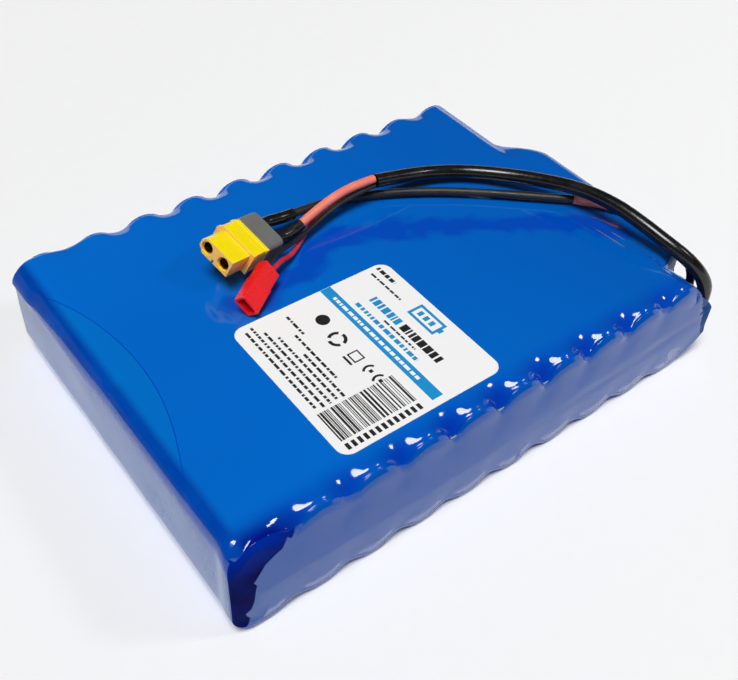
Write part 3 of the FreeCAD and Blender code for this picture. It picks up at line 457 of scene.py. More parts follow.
def rounded(points):
    """Rounds the box: the ends to the cells' own radius, and the rims of the two long sides."""
    flat = points[:, :2] - CENTRE
    core = HALF - END_RADIUS
    inner = np.clip(flat, -core, core)
    reach = flat - inner
    span = np.abs(reach).max(axis=1)
    length = np.linalg.norm(reach, axis=1)
    out = np.where(length[:, None] > TINY, reach / np.maximum(length, TINY)[:, None], 0)
    depth = END_RADIUS - span
    from_rim = HALF_Y - np.abs(points[:, 2])
    radius = RIM_RADIUS + TOP_RIM_EXTRA * smoothstep(0, 0.8, out[:, 1])
    radius = radius - BOARD_END_RIM_LESS * smoothstep(0.5, 1, out[:, 0]) * (points[:, 2] < 0)
    across = np.clip(radius - depth, 0, None)
    along = np.clip(radius - from_rim, 0, None)
    size = np.hypot(across, along)
    shaped = (along > 0) & (across > 0) & (size > 0)
    scale = np.where(shaped, radius / np.maximum(size, TINY), 1)
    new_depth = np.where(shaped, radius - across * scale, depth)
    new_rim = np.where(shaped, radius - along * scale, from_rim)
    placed = inner + out * (END_RADIUS - new_depth)[:, None] + CENTRE
    placed = np.where((length > TINY)[:, None], placed, points[:, :2])
    y = np.sign(points[:, 2]) * (HALF_Y - new_rim)
    return placed[:, 0], y, placed[:, 1]


def squared(x, y, z):
    """x and z with the plain end's upper edge squared up, more so towards the gathered corner."""
    core_x, core_z = LOW_X + END_RADIUS, HEIGHT - END_RADIUS
    u, w = np.clip(core_x - x, 0, None) / END_RADIUS, np.clip(z - core_z, 0, None) / END_RADIUS
    size = np.hypot(u, w)
    power = 2 + 1.6 * smoothstep(35, -35, y)
    turned = (u > 0) & (w > 0)
    u_unit, w_unit = u / np.maximum(size, TINY), w / np.maximum(size, TINY)
    scale = np.where(turned, (u_unit ** power + w_unit ** power) ** (-1 / power), 1)
    return np.where(turned, core_x - u * scale * END_RADIUS, x), np.where(turned, core_z + w * scale * END_RADIUS, z)


def dips(x, depths, sharpness):
    """The film's sag between neighbouring columns, from the crests down."""
    total = np.zeros_like(x)
    for place, depth in zip(VALLEYS, depths):
        t = (x - place) / PITCH
        hill = np.where(np.abs(t) < 0.5, (1 + np.cos(2 * np.pi * t)) / 2, 0)
        total += depth * hill ** sharpness
    return total


def ripples(x, y, seed, size):
    """Smooth irregularity from seven crossed waves, about -1 to 1."""
    count = 7
    picker = random.Random(seed)
    total = np.zeros_like(x)
    for _ in range(count):
        angle, phase = picker.uniform(0, math.pi), picker.uniform(0, 2 * math.pi)
        wave = size * picker.uniform(0.6, 1.7)
        total += np.sin((x * math.cos(angle) + y * math.sin(angle)) * 2 * math.pi / wave + phase)
    return total / count


def arc_distance(x, y):
    """How far a place on the top is inside the outer film's curved end, positive on the outer film."""
    centre = LOW_X + ARC_DEPTH - ARC_RADIUS
    return np.hypot(x - centre, y - ARC_MIDDLE) - ARC_RADIUS


def line_distance(x, y, line):
    """The distance of places on the top from a broken line."""
    nearest = np.full_like(x, 1e3)
    for (ax, ay), (bx, by) in zip(line, line[1:]):
        span = (bx - ax) ** 2 + (by - ay) ** 2
        t = np.clip(((x - ax) * (bx - ax) + (y - ay) * (by - ay)) / span, 0, 1)
        nearest = np.minimum(nearest, np.hypot(x - ax - t * (bx - ax), y - ay - t * (by - ay)))
    return nearest


def over_cells(x, y, z, z0):
    """x and z moved out where the film would otherwise enter a cell or a flat board."""
    given_up = COVER_FALL * np.clip(np.abs(y) - CELL_END, 0, None)
    spare = CELL_RADIUS + COVER - given_up
    for way, middle in ((1, LAST_CELL), (-1, FIRST_CELL)):
        for side, layer in ((1, HIGH_LAYER), (-1, LOW_LAYER)):
            out, up = (x - middle) * way, (z - layer) * side
            span = np.maximum(np.hypot(out, up), 1)
            scale = np.where((out > 0) & (up > 0), np.maximum(1, spare / span), 1)
            x = np.where(out > 0, middle + (x - middle) * scale, x)
            z = np.where(up > 0, layer + (z - layer) * scale, z)
    column = np.clip(np.round((x - GRID_X) / PITCH + 4.5), 0, LAST_COLUMN)
    t = np.abs(x - GRID_X - PITCH * (column - 4.5))
    bulge = np.sqrt(np.clip(CELL_RADIUS ** 2 - t ** 2, 0, None)) + COVER - given_up
    covered = (t < CELL_RADIUS) & (bulge > 0)
    z = np.where(covered & (z0 > HIGH_LAYER + 4), np.maximum(z, HIGH_LAYER + bulge), z)
    z = np.where(covered & (z0 < LOW_LAYER - 4), np.minimum(z, LOW_LAYER - bulge), z)
    board = (x > BOARD_X[0]) & (x < BOARD_X[1]) & (np.abs(y) < BOARD_Y)
    z = np.where(board & (z0 > 34), np.maximum(z, OVER_BOARD), z)
    return x, np.where(board & (z0 < 5), np.minimum(z, UNDER_BOARD), z)


class Wrap:
    """The two films as one surface, pressed step by step out of a rounded box.

    z0, side, near, upper and lower say where a vertex was on that box: its height, its distance from the middle
    plane, whether it is on the near side, and its share of the upper and of the lower half.
    """

    def __init__(self):
        self.grid, self.faces = wrap_grid()
        x, y, z = rounded(slide_rows(self.grid))
        x, z = squared(x, y, z)
        self.x, self.y, self.z = x, y, z
        self.z0, self.side, self.near = z.copy(), np.abs(y), y < 0
        self.upper, self.lower = smoothstep(HEIGHT * 0.52, HEIGHT, z), smoothstep(HEIGHT * 0.48, 0, z)
        self.top_dip = np.where(self.near, dips(x, NEAR_DEPTHS, 1.15), dips(x, FAR_DEPTHS, 1.1))

    def sag(self):
        """The long sides' rims sag between the cells, and droop at the gathered corner."""
        low_dip = dips(self.x, LOW_DEPTHS, 1.3)
        rim, rim_low = smoothstep(57.6, 66.4, self.side), smoothstep(59.5, 67.4, self.side)
        droop = 1.6 * self.near * smoothstep(-74, -88, self.x) * smoothstep(61, 67, self.side) * self.upper
        self.z = self.z - self.top_dip * rim * self.upper + low_dip * rim_low * self.lower - droop

    def press_long_sides(self):
        """Hollows between the cells' ends, a crease at mid-height and two pinholes near one corner."""
        x, z0, near = self.x, self.z0, self.near
        hollow = dips(x, (1,) * len(VALLEYS), 1.6) * (0.7 * self.upper + 0.25 * self.lower)
        mid = np.exp(-((z0 - CREASE_Z - CREASE_RISE * (x - 20)) / CREASE_WIDTH) ** 2)
        crease = mid * smoothstep(-30, 70, x) * (0.9 + 0.25 * np.sin(x / 5.0)) * near
        crease += 0.5 * mid * (~near)
        belly = 0.7 * ripples(x, z0, 5, 34) + 0.35 * ripples(x, z0, 8, 11)
        ridge = 15.5 + 2.5 * smoothstep(-20, 60, x) + 0.8 * np.sin(x / 17.0)
        slant = np.where(z0 > ridge, 0.075 * (z0 - ridge), 0.012 * (ridge - z0))
        free = 1 - 0.75 * near * smoothstep(84.0, 86.8, x)
        inward = (hollow + 0.3 * crease + slant + 0.12 * (1 + belly)) * free
        inward = DEEPEST_SAG * np.tanh(inward / DEEPEST_SAG)
        for hole_x, hole_z in PINHOLES:
            inward += near * 0.8 * np.exp(-(((x - hole_x) / 0.9) ** 2 + ((z0 - hole_z) / 0.8) ** 2))
        self.y = self.y - np.sign(self.y) * inward * smoothstep(62, 67.6, self.side)

    def raise_board_end(self):
        """A tent over the end with the board, a lower one over the leads, and the film close on the cells between."""
        x, y, z, z0 = self.x, self.y, self.z, self.z0
        end = smoothstep(78.5, 85.5, x)
        tent = smoothstep(-53.5, -47.5, y) * smoothstep(36, 16, y)
        board = tent * dome(z0, TENT_Z, TENT_HALF, 16)
        inside = smoothstep(-66.5, -62.5, y)
        tunnel = inside * smoothstep(28.4, 25.6, z0) * dome(z0, TUNNEL_MIDDLE, TUNNEL_HALF, 7)
        tunnel = smoothstep(-46, -52, y) * (tunnel + (1 - inside) * np.interp(z0, TUNNEL_Z, TUNNEL_REACH))
        reach = np.maximum(board, tunnel)
        hug = (1 - tent) * (1 - reach) * smoothstep(HIGH_LAYER, 33, z) * smoothstep(LAST_CELL, 82, x)
        from_cell = np.maximum(np.hypot(x - LAST_CELL, z - HIGH_LAYER), 1)
        pulled = 1 + hug * (np.minimum(from_cell, CELL_RADIUS + 0.2) / from_cell - 1)
        x, z = LAST_CELL + (x - LAST_CELL) * pulled, HIGH_LAYER + (z - HIGH_LAYER) * pulled
        x = x + end * (TENT_REACH * reach - 0.25 * (1 - reach) * (1 + ripples(y, z0, 3, 30)))
        z = np.minimum(z + 1.2 * board * smoothstep(84, 90, x) * smoothstep(28, 33, z0), HEIGHT)
        self.past_fold = x - np.interp(z0, FOLD_Z, FOLD_X)
        facet = smoothstep(0, 4, self.past_fold) * smoothstep(-62, -66, y)
        self.x, self.z = x, z
        self.y = y + 0.6 * facet * smoothstep(9, 13, z0) * smoothstep(36, 32, z0)

    def step_plain_end(self):
        """At the plain end only the inner film shows, inside the outer one's curved edge with its nick."""
        x, y, z0 = self.x, self.y, self.z0
        self.outer = arc_distance(x, y)
        on_end = smoothstep(-90, -97.5, x)
        recess = on_end * (1 - smoothstep(49, 56, y) * smoothstep(28.5, 31.5, z0)) * smoothstep(-64, -58, y)
        self.x = x + PLAIN_END_RECESS * recess + 0.12 * on_end * (1 + ripples(y, z0, 9, 26))
        step = INNER_STEP * smoothstep(0.7, -0.1, self.outer) * smoothstep(30, 38, z0)
        nick = bell(y, NICK_Y, 2.2) * bell(self.x, NICK_X, 2.4) * smoothstep(28, 36, z0)
        self.z = self.z - step - NICK_DEPTH * nick

    def lay_top(self):
        """The top is flat under the label, with long shallow swells beside it."""
        x, y, z0 = self.x, self.y, self.z0
        self.top = smoothstep(37.2, 39.05, z0)
        off_label = np.hypot(*(np.maximum(np.abs(place - middle) - reach, 0)
                               for place, middle, reach in zip((x, y), FLAT_MIDDLE, FLAT_REACH)))
        swell = SWELL * (1 + ripples(x, y, 2, 70)) * smoothstep(0, 10, off_label)
        self.x, self.z = over_cells(x, y, self.z - self.top * swell, z0)

    def cut_corner(self):
        """The corner nearest to the label's barcode, where the film is cut across and gathered."""
        beyond = np.clip(self.x * CUT_NORMAL[0] + self.y * CUT_NORMAL[1] - CUT_PLACE, 0, None)
        beyond = beyond * smoothstep(37.5, 33.0, self.z0) * smoothstep(1.5, 6, self.z0)
        self.x, self.y = self.x - beyond * CUT_NORMAL[0], self.y - beyond * CUT_NORMAL[1]

    def layers(self):
        """What the film's material reads at each vertex."""
        x, y, z0, side = self.x, self.y, self.z0, self.side
        # Painted shade along the near rim, deeper in the valleys.
        near_rim_shade = smoothstep(56, 64, side) * (0.45 + 0.55 * self.top_dip / 4.5) * self.near
        gather_corner = smoothstep(-68, -86, x) * smoothstep(-59, -66, y)
        # Painted shade on the long sides and the plain end.
        flank = smoothstep(65.2, 66.4, side) * smoothstep(38, 35, z0)
        ends = smoothstep(-96.6, -97.6, x) * smoothstep(36, 33, z0)
        return {
            "gathered_and_rim_shade": np.clip(np.maximum(near_rim_shade * self.upper, gather_corner), 0, 1),
            "corner": gather_corner,
            # painted shade along the plain end's upper rim
            "plain_rim_shade": smoothstep(-91.5, -94.5, x) * smoothstep(27, 31, z0),
            "near_side_shade": flank * self.near,
            "side": np.maximum(flank, ends),
            "into_film": np.clip(self.outer, -4, 4),
            "on_top": smoothstep(29, 32, z0),
            # the leads' painted shadow and reflection
            "band": line_distance(x, y, LEAD_SHADE_LINE) * self.top + FAR_FROM_LEAD_SHADE * (1 - self.top),
        }

    def kinds(self, plain_rim_shade):
        """Each face's material: the lowest number among its vertices, 0 for the plain film."""
        x, y, z0, grid = self.x, self.y, self.z0, self.grid
        left = grid[:, 0] < SEAM_COLUMN + 0.1
        beside = (grid[:, 2] < 0.1 - HALF_Y) | ((grid[:, 0] < LOW_X + 0.1) & (grid[:, 2] < 1.4 - HALF_Y))
        navy = left & beside & (grid[:, 1] < HEIGHT - 1.0) & (grid[:, 1] > 1)
        # Painted shade of the leads: a dull dark copy of the film on the tunnel's facet and on the slope under them.
        tunnel_shaded = (self.past_fold > 0) & (y < -63) & (z0 > 9) & (z0 < 33) & (x > 85)
        tunnel_shaded |= (y > -57) & (y < -44) & (z0 > 22) & (z0 < 38.4) & (x > 84)
        # Painted shade along the plain end's upper rim: a dull dark copy of the film.
        rim_shaded = (plain_rim_shade > 0.9) & (grid[:, 1] > RIM_ROW - 0.01) & (self.side < 66)
        at_vertex = np.where(navy, 1, np.where(tunnel_shaded, 2, np.where(rim_shaded, 3, 0)))
        return [int(min(at_vertex[v] for v in face)) for face in self.faces]

    def finish(self):
        made = piece("wrap", np.column_stack((self.x, self.y, self.z)), self.faces, FILM)
        layers = self.layers()
        for label, values in layers.items():
            made.data.attributes.new(label, "FLOAT", "POINT").data.foreach_set("value", values.astype(np.float32))
        for material in (GATHERED, TUNNEL_SHADE_FILM, RIM_SHADE_FILM):
            made.data.materials.append(material)
        made.data.polygons.foreach_set("material_index", self.kinds(layers["plain_rim_shade"]))
        return made


shaping = Wrap()
shaping.sag()
shaping.press_long_sides()
shaping.raise_board_end()
shaping.step_plain_end()
shaping.lay_top()
shaping.cut_corner()
wrapped = shaping.finish()
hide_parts("outer_sleeve", "inner_sleeve")

# -------- leads

SLEEVE_ROUTE = [
    (94.0, -64.2, 21.5), (94.2, -64.1, 28.5), (92.4, -63.2, 33.4), (89.9, -60.4, 37.9), (86.9, -55.8, 41.8),
    (84.4, -48.6, 44.4), (82.7, -39.6, 46.5), (81.2, -28.4, 47.9), (78.2, -15.2, 47.5), (73.0, -2.2, 45.4),
    (65.4, 9.8, 43.6), (56.0, 19.2, 43.0), (45.4, 25.2, 43.3), (33.6, 27.6, 45.0), (20.1, 28.3, 47.3),
]
NEGATIVE_ROUTE = [
    (93.1, -58.8, 21.5), (93.4, -58.4, 28.0), (93.2, -56.9, 33.6), (91.5, -53.1, 38.6), (90.5, -46.2, 40.2),
    (90.5, -38.0, 40.6), (90.8, -29.6, 41.0), (87.6, -21.6, 41.2), (80.8, -14.2, 41.2), (69.4, -4.6, 41.1),
    (55.6, 7.2, 41.0), (41.8, 17.4, 41.1), (29.0, 25.0, 41.0), (16.8, 30.4, 41.1), (5.4, 33.0, 41.6),
    (-3.2, 33.0, 43.0), (-11.8, 31.8, 44.4),
]
POSITIVE_ROUTE = [(19.6, 28.3, 48.4), (11.8, 28.7, 48.6), (3.5, 28.3, 47.9), (-4.7, 27.3, 46.3), (-12.3, 26.1, 44.2)]
CHARGE_BLACK_ROUTE = [
    (19.6, 27.4, 46.1), (11.3, 27.9, 45.5), (1.8, 27.2, 44.2), (-7.9, 24.7, 42.6), (-16.0, 22.0, 42.4),
    (-23.1, 19.0, 43.9), (-29.2, 16.0, 46.1), (-34.7, 12.7, 46.1),
]
CHARGE_RED_ROUTE = [
    (19.6, 29.2, 46.1), (10.8, 30.1, 45.3), (1.3, 29.4, 43.5), (-8.6, 26.9, 41.1), (-17.6, 20.6, 40.3),
    (-22.9, 17.0, 41.4), (-28.2, 14.6, 43.8), (-33.8, 11.5, 44.1),
]


def spline(name, route, diameter, material=None):
    """A smooth line drawn by the points of a route, as a round lead if it has a material."""
    curve = bpy.data.curves.new(name, "CURVE")
    curve.dimensions = "3D"
    line = curve.splines.new("NURBS")
    line.points.add(len(route) - 1)
    for point, place in zip(line.points, route):
        point.co = (*(c * MM for c in place), 1)
    line.order_u = 3
    line.use_endpoint_u = True
    line.resolution_u = 14
    if material:
        curve.bevel_depth = diameter / 2 * MM
        curve.bevel_resolution = 7
        curve.use_fill_caps = True
        curve.materials.append(material)
    made = bpy.data.objects.new(name, curve)
    bpy.context.scene.collection.objects.link(made)
    return made


def centreline(route):
    """Points read from a route's smooth line, in millimetres."""
    probe = spline("probe", route, 1)
    mesh = bpy.data.meshes.new_from_object(probe)
    points = [Vector(v.co) / MM for v in mesh.vertices]
    bpy.data.objects.remove(probe)
    bpy.data.meshes.remove(mesh)
    return points


def swept(name, points, radii, material, sides=28):
    """A closed round skin along a line, with one radius for each point."""
    vertices, faces = [], []
    side = Vector((0, 0, 1))
    for number, point in enumerate(points):
        before, after = points[max(number - 1, 0)], points[min(number + 1, len(points) - 1)]
        heading = (after - before).normalized() if (after - before).length > 1e-6 else heading
        side = (side - heading * side.dot(heading)).normalized()
        other = heading.cross(side)
        for k in range(sides):
            turn = 2 * math.pi * k / sides
            vertices.append(point + (side * math.cos(turn) + other * math.sin(turn)) * radii[number])
    for ring in range(len(points) - 1):
        for k in range(sides):
            a, b = ring * sides + k, ring * sides + (k + 1) % sides
            faces.append((a, b, b + sides, a + sides))
    faces.append(range(sides - 1, -1, -1))
    faces.append(range((len(points) - 1) * sides, len(points) * sides))
    return piece(name, vertices, faces, material)


def lead(name, route, diameter, material, node):
    made = spline(name, route, diameter, material)
    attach(made, "root")
    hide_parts(node)
    return made


LEAD, THIN_LEAD, SLEEVE = 3.0, 1.7, 5.0
negative = lead("negative_silicone_lead", NEGATIVE_ROUTE, LEAD, BLACK_LEAD, "negative_lead")
positive = lead("positive_silicone_lead", POSITIVE_ROUTE, LEAD, RED_LEAD, "positive_lead")
charge_black = lead("charge_negative_lead", CHARGE_BLACK_ROUTE, THIN_LEAD, THIN_BLACK, "charge_lead_black")
charge_red = lead("charge_positive_lead", CHARGE_RED_ROUTE, THIN_LEAD, THIN_RED, "charge_lead_red")
sleeving = lead("sleeving_tube", SLEEVE_ROUTE, SLEEVE, SLEEVING, "lead_sleeve")


def stretch(line, start, finish):
    """The part of a line between two lengths along it, in millimetres."""
    kept, travelled = [], 0.0
    for before, after in zip(line, line[1:]):
        if start <= travelled <= finish:
            kept.append(before)
        travelled += (after - before).length
    return kept


# The splice's heat shrink: it starts and ends tight on the lead, swells over the joint and is faintly ringed.
SPLICE_SPAN, SPLICE_RADIUS, SPLICE_SWELL, SPLICE_RINGS = (44, 64), 1.62, 0.34, 0.05
splice_line = stretch(centreline(NEGATIVE_ROUTE), *SPLICE_SPAN)
last = len(splice_line) - 1
splice_radii = [SPLICE_RADIUS + SPLICE_SWELL * min(1, 6 * min(k / last, 1 - k / last))
                + SPLICE_RINGS * math.sin(k * 1.1) for k in range(last + 1)]
splice = swept("splice_heat_shrink", splice_line, splice_radii, SHRINK_RED)
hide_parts("splice_sleeve")

# -------- connectors


SHARP_EDGE = math.radians(32)


def softened(node, name, material, width_mm):
    """A CAD piece with its moulded edges rounded."""
    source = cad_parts[node]
    mesh = source.data.copy()
    mesh.materials.clear()
    mesh.materials.append(material)
    work = bmesh.new()
    work.from_mesh(mesh)
    bmesh.ops.remove_doubles(work, verts=work.verts, dist=2e-6)
    bmesh.ops.dissolve_limit(work, angle_limit=math.radians(1), verts=work.verts, edges=work.edges)
    sharp = [e for e in work.edges if e.is_manifold and e.calc_face_angle(0) > SHARP_EDGE]
    bmesh.ops.bevel(work, geom=sharp, offset=width_mm * MM, offset_type="OFFSET", segments=2, profile=0.6,
                    affect="EDGES", clamp_overlap=True)
    for face in work.faces:
        face.smooth = True
    work.to_mesh(mesh)
    work.free()
    made = bpy.data.objects.new(name, mesh)
    bpy.context.scene.collection.objects.link(made)
    weighted = made.modifiers.new("weighted", "WEIGHTED_NORMAL")
    weighted.keep_sharp = False
    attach(made, "root")
    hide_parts(node)
    return made


shell = softened("discharge_shell", "discharge_housing", SHELL_YELLOW, 0.18)
hood = softened("discharge_hood", "discharge_cover", HOOD_GREY, 0.25)
inlet = softened("charge_shell", "charge_housing", SHELL_RED, 0.12)
shrinks = [
    softened("negative_heat_shrink", "negative_lead_shrink", SHRINK_BLACK, 0.2),
    softened("positive_heat_shrink", "positive_lead_shrink", SHRINK_BLACK, 0.2),
]

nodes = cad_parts

# -------- label

LABEL_CORNER = (-56.4, -58.0)
LABEL_SIZE, LABEL_RADIUS = (59.0, 58.0), 4.0
LABEL_TOP = 39.25
PRINT_SUNK = 0.02


def paper():
    """Coated white paper."""
    white = (0.92, 0.92, 0.915)
    made = Shader("label_paper", white, 0.3, Coat_Weight=0.25, Coat_Roughness=0.15)
    made.colour(made.mix(made.ramp(made.noise(45, 3), 0, 0.12, 0.4, 0.7), white, (0.80, 0.81, 0.83)))
    made.bump(made.noise(1500, 4), 0.01)
    return made.material


def ink(name, colour):
    """Printing ink, laid down a little unevenly."""
    made = Shader(name, colour, 0.38)
    made.colour(made.mix(made.ramp(made.noise(700, 3), 0, 0.35, 0.45, 0.75), colour, tuple(c + 0.04 for c in colour)))
    return made.material


BLACK_INK, BLUE_INK = ink("black_ink", (0.012, 0.012, 0.014)), ink("blue_ink", (0.006, 0.27, 0.62))


def on_label(along, up):
    """A place on the label: along its lines of print (towards -Y), up it (towards +X)."""
    return (LABEL_CORNER[0] + up, -along)


def rounded_rectangle(low, high, radius, steps=8):
    """An outline, counter-clockwise from above."""
    points = []
    for cx, cy, start in ((high[0] - radius, high[1] - radius, 0), (low[0] + radius, high[1] - radius, 90),
                          (low[0] + radius, low[1] + radius, 180), (high[0] - radius, low[1] + radius, 270)):
        for k in range(steps + 1):
            turn = math.radians(start + 90 * k / steps)
            points.append((cx + radius * math.cos(turn), cy + radius * math.sin(turn)))
    return points


def plate(outline, low, high):
    """Vertices and faces of a flat plate with an outline."""
    count = len(outline)
    vertices = [(x, y, low) for x, y in outline] + [(x, y, high) for x, y in outline]
    faces = [list(range(count))[::-1], list(range(count, 2 * count))]
    faces += [(k, (k + 1) % count, count + (k + 1) % count, count + k) for k in range(count)]
    return vertices, faces


far_corner = tuple(corner + size for corner, size in zip(LABEL_CORNER, LABEL_SIZE))
sheet_points, sheet_faces = plate(rounded_rectangle(LABEL_CORNER, far_corner, LABEL_RADIUS), HEIGHT, LABEL_TOP)
label = piece("label_sheet", sheet_points, sheet_faces, paper(), smooth=False)
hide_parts("label")


class Print:
    """Flat printed marks gathered into one piece."""

    def __init__(self, level):
        self.vertices, self.faces, self.level = [], [], level

    def add(self, outline):
        """A mark from an outline of (along, up) points."""
        placed = [on_label(a, b) for a, b in outline]
        area = sum(p[0] * q[1] - q[0] * p[1] for p, q in zip(placed, placed[1:] + placed[:1]))
        vertices, faces = plate(placed if area > 0 else placed[::-1], LABEL_TOP - PRINT_SUNK,
                                LABEL_TOP + self.level)
        start = len(self.vertices)
        self.vertices += vertices
        self.faces += [tuple(start + n for n in face) for face in faces]

    def bar(self, along, up, length, height):
        self.add([(along, up), (along + length, up), (along + length, up + height), (along, up + height)])

    def ring(self, along, up, radius, width, start, finish, steps=12):
        """Part of a ring, between two angles in degrees."""
        turns = [math.radians(start + (finish - start) * k / steps) for k in range(steps + 1)]
        for a, b in zip(turns, turns[1:]):
            inner = radius - width
            self.add([(along + radius * math.cos(a), up + radius * math.sin(a)),
                      (along + radius * math.cos(b), up + radius * math.sin(b)),
                      (along + inner * math.cos(b), up + inner * math.sin(b)),
                      (along + inner * math.cos(a), up + inner * math.sin(a))])

    def disc(self, along, up, radius, steps=28):
        turns = [2 * math.pi * k / steps for k in range(steps)]
        self.add([(along + radius * math.cos(turn), up + radius * math.sin(turn)) for turn in turns])

    def dashes(self, along, up, length, height, seed):
        """A line of print as uneven dashes."""
        picker = random.Random(seed)
        place = along
        while place < along + length:
            width = min(picker.uniform(0.7, 2.6), along + length - place)
            self.bar(place, up, width, height)
            place += width + picker.uniform(0.35, 0.7)

    def finish(self, name, material):
        return piece(name, self.vertices, self.faces, material, smooth=False)


black, blue, pale = Print(0.012), Print(0.012), Print(0.024)
# The blue band with a pale line on it, and the small lines in the upper corner.
blue.bar(0.1, 33.2, 55.4, 4.0)
pale.dashes(5, 34.6, 42, 1.2, 4)
black.dashes(1.5, 54.6, 9, 1.5, 1)
black.dashes(2.5, 51.6, 15, 0.8, 2)
# A battery outline with three bars in it.
for along, up, length, height in ((22.9, 50.2, 12.2, 1.0), (22.9, 55.4, 12.2, 1.0), (22.9, 51.2, 1.0, 4.2),
                                  (34.1, 51.2, 1.0, 4.2), (35.1, 52.3, 1.0, 2.0), (25.2, 52.2, 1.6, 2.2),
                                  (27.9, 52.2, 1.6, 2.2), (30.6, 52.2, 1.6, 2.2)):
    blue.bar(along, up, length, height)
# The title lines.
blue.dashes(12, 43.6, 14, 3.0, 21)
black.dashes(27, 43.6, 18, 3.0, 22)
black.dashes(22, 41.6, 15, 0.7, 23)
blue.dashes(11, 38.8, 30, 1.5, 24)
# Generic pictograms: a disc, a broken ring, a box and two arcs with squares.
black.disc(11.2, 26.4, 2.3)
for k in range(3):
    black.ring(20.4, 25.2, 3.1, 1.1, 120 * k + 15, 120 * k + 105)
for along, up, length, height in ((27.2, 22.0, 4.2, 0.8), (27.2, 23.6, 4.2, 0.5), (27.2, 27.0, 4.2, 0.5),
                                  (27.2, 24.1, 0.5, 2.9), (30.9, 24.1, 0.5, 2.9)):
    black.bar(along, up, length, height)
for k in range(2):
    black.ring(36.6 + 4.6 * k, 25.6, 2.6, 0.8, 120, 240)
    black.bar(36.0 + 4.6 * k, 25.0, 1.2, 1.2)
# Seven lines of small print, then the bars of a code and the marks beside them.
FIRST_ROW, ROW_PITCH = 17.6, 2.35
ROWS = ((4, 9), (12, 21), (20, 20), (10, 30), (6, 34), (2, 38), (3, 36))
for row, (start, length) in enumerate(ROWS):
    black.dashes(start, FIRST_ROW - ROW_PITCH * row, length, 0.9, 40 + row)
picker = random.Random(7)
CODE_LOW, CODE_HIGH = 2.9, 29.8
place = CODE_LOW
while place < CODE_HIGH:
    width = picker.choice((0.25, 0.25, 0.5, 0.75))
    black.bar(41.2, place, 11.6, width)
    place += width + picker.choice((0.25, 0.3, 0.5, 0.7))
black.dashes(54.2, CODE_LOW, 2.2, 0.1, 60)
for k in range(13):
    black.bar(54.0, CODE_LOW + 2.1 * k, 2.3, 1.2)
black.finish("label_black_print", BLACK_INK)
blue.finish("label_blue_print", BLUE_INK)
pale.finish("label_reversed_print", label.data.materials[0])

# -------- CAD pieces that stay

CELL_WRAP = moulded("cell_wrap", (0.03, 0.36, 0.24), 0.25, 0.2)
NICKEL = plated("nickel", (0.62, 0.60, 0.56), 0.3, (1, 8, 8))
STEEL = plated("cell_steel", (0.68, 0.68, 0.68), 0.22)
BOARD = fibrous("epoxy_board", (0.36, 0.46, 0.24))
PAPER = fibrous("barley_paper", (0.33, 0.44, 0.30), 2.0)
FOAM = fibrous("foam", (0.80, 0.80, 0.77), 0.7)
MASK = moulded("solder_mask", (0.012, 0.16, 0.05), 0.2, 0.35)
PACKAGE = moulded("package_black", (0.02, 0.02, 0.021), 0.5, 0.3, 0.05)
SPREADER = plated("spreader", (0.78, 0.78, 0.80), 0.3, (8, 1, 8))
HEADER = moulded("header_white", (0.83, 0.82, 0.76), 0.45)
RING = fibrous("white_ring", (0.86, 0.86, 0.83), 0.8)
KEPT = {
    "cell_tops": STEEL, "cell_top_rings": RING, "series_link": NICKEL, "centre_board": BOARD, "bottom_board": BOARD,
    "top_board": BOARD, "outer_end_board": BOARD, "circuit_end_board": BOARD, "near_face_paper": PAPER,
    "far_face_paper": PAPER, "circuit_pad": FOAM, "circuit_board": MASK, "transistors": PACKAGE,
    "heat_spreader": SPREADER, "shunt_resistors": PACKAGE, "capacitors": SPREADER, "temperature_probe": PACKAGE,
    "balance_header": HEADER, "balance_plug": HEADER, "balance_wires": THIN_BLACK, "inner_positive_lead": RED_LEAD,
    "inner_negative_lead": BLACK_LEAD, "positive_socket": GOLD, "negative_socket": GOLD, "charge_pins": TINNED,
}
KEPT.update({f"cell_group_{n:02d}": CELL_WRAP for n in range(1, 11)})
KEPT.update({f"nickel_straps_{place}": NICKEL for place in ("near_face", "near_middle", "far_middle", "far_face")})
for name, material in KEPT.items():
    data = nodes[name].data
    data.materials.clear()
    data.materials.append(material)

# -------- floor, lights and sky

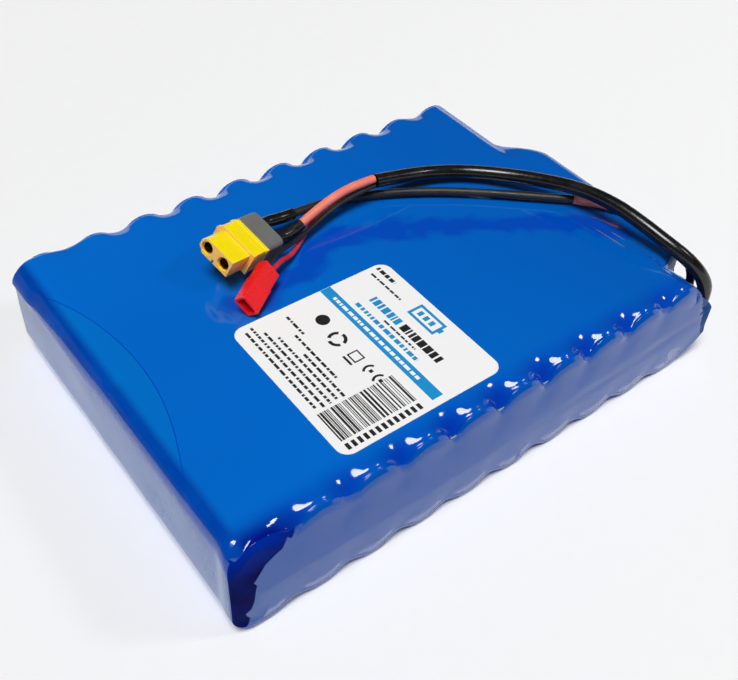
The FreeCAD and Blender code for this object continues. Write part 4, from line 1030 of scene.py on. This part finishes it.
REACH = 3000
floor = piece("floor", [(-REACH, -REACH, 0), (REACH, -REACH, 0), (REACH, REACH, 0), (-REACH, REACH, 0)],
              [(0, 1, 2, 3)], moulded("floor", (0.90, 0.90, 0.90), 0.75, 0.02))


def light(name, kind, energy, direction):
    """A light that shines along a direction."""
    made = bpy.data.objects.new(name, bpy.data.lights.new(name, kind))
    made.data.energy = energy
    made.rotation_mode = "QUATERNION"
    made.rotation_quaternion = Vector(direction).to_track_quat("-Z", "Y")
    bpy.context.scene.collection.objects.link(made)
    return made


# A small lamp for the crisp glints, in metres, and a broad soft key.
GLINT_PLACE, GLINT_TARGET, GLINT_SIZE = Vector((0.62, -0.52, 0.86)), Vector((0, -0.03, 0.03)), 0.16
KEY_DIRECTION, KEY_SPREAD = (0.27, 0.19, -1), 0.47
glint = light("glint", "AREA", 1.6, GLINT_TARGET - GLINT_PLACE)
glint.location = GLINT_PLACE
glint.data.shape = "RECTANGLE"
glint.data.size = glint.data.size_y = GLINT_SIZE
light("key", "SUN", 2.95, KEY_DIRECTION).data.angle = KEY_SPREAD

# The sky is bright near the horizon and dim above, which keeps the film's top a deep blue.
SKY_COLOUR, BRIGHT_BELOW, DIM_ABOVE, DIM = (0.95, 0.97, 1.0), 0.11, 0.16, 0.03
world = bpy.data.worlds.new("studio")
world.use_nodes = True
sky, links = world.node_tree.nodes, world.node_tree.links
direction = sky.new("ShaderNodeSeparateXYZ")
links.new(sky.new("ShaderNodeTexCoord").outputs["Generated"], direction.inputs["Vector"])
fade = sky.new("ShaderNodeMapRange")
links.new(direction.outputs["Z"], fade.inputs["Value"])
for socket, value in (("From Min", BRIGHT_BELOW), ("From Max", DIM_ABOVE), ("To Min", 1.0), ("To Max", DIM)):
    fade.inputs[socket].default_value = value
links.new(fade.outputs["Result"], sky["Background"].inputs["Strength"])
sky["Background"].inputs["Color"].default_value = (*SKY_COLOUR, 1)
bpy.context.scene.world = world
bpy.context.scene.view_settings.view_transform = "Standard"
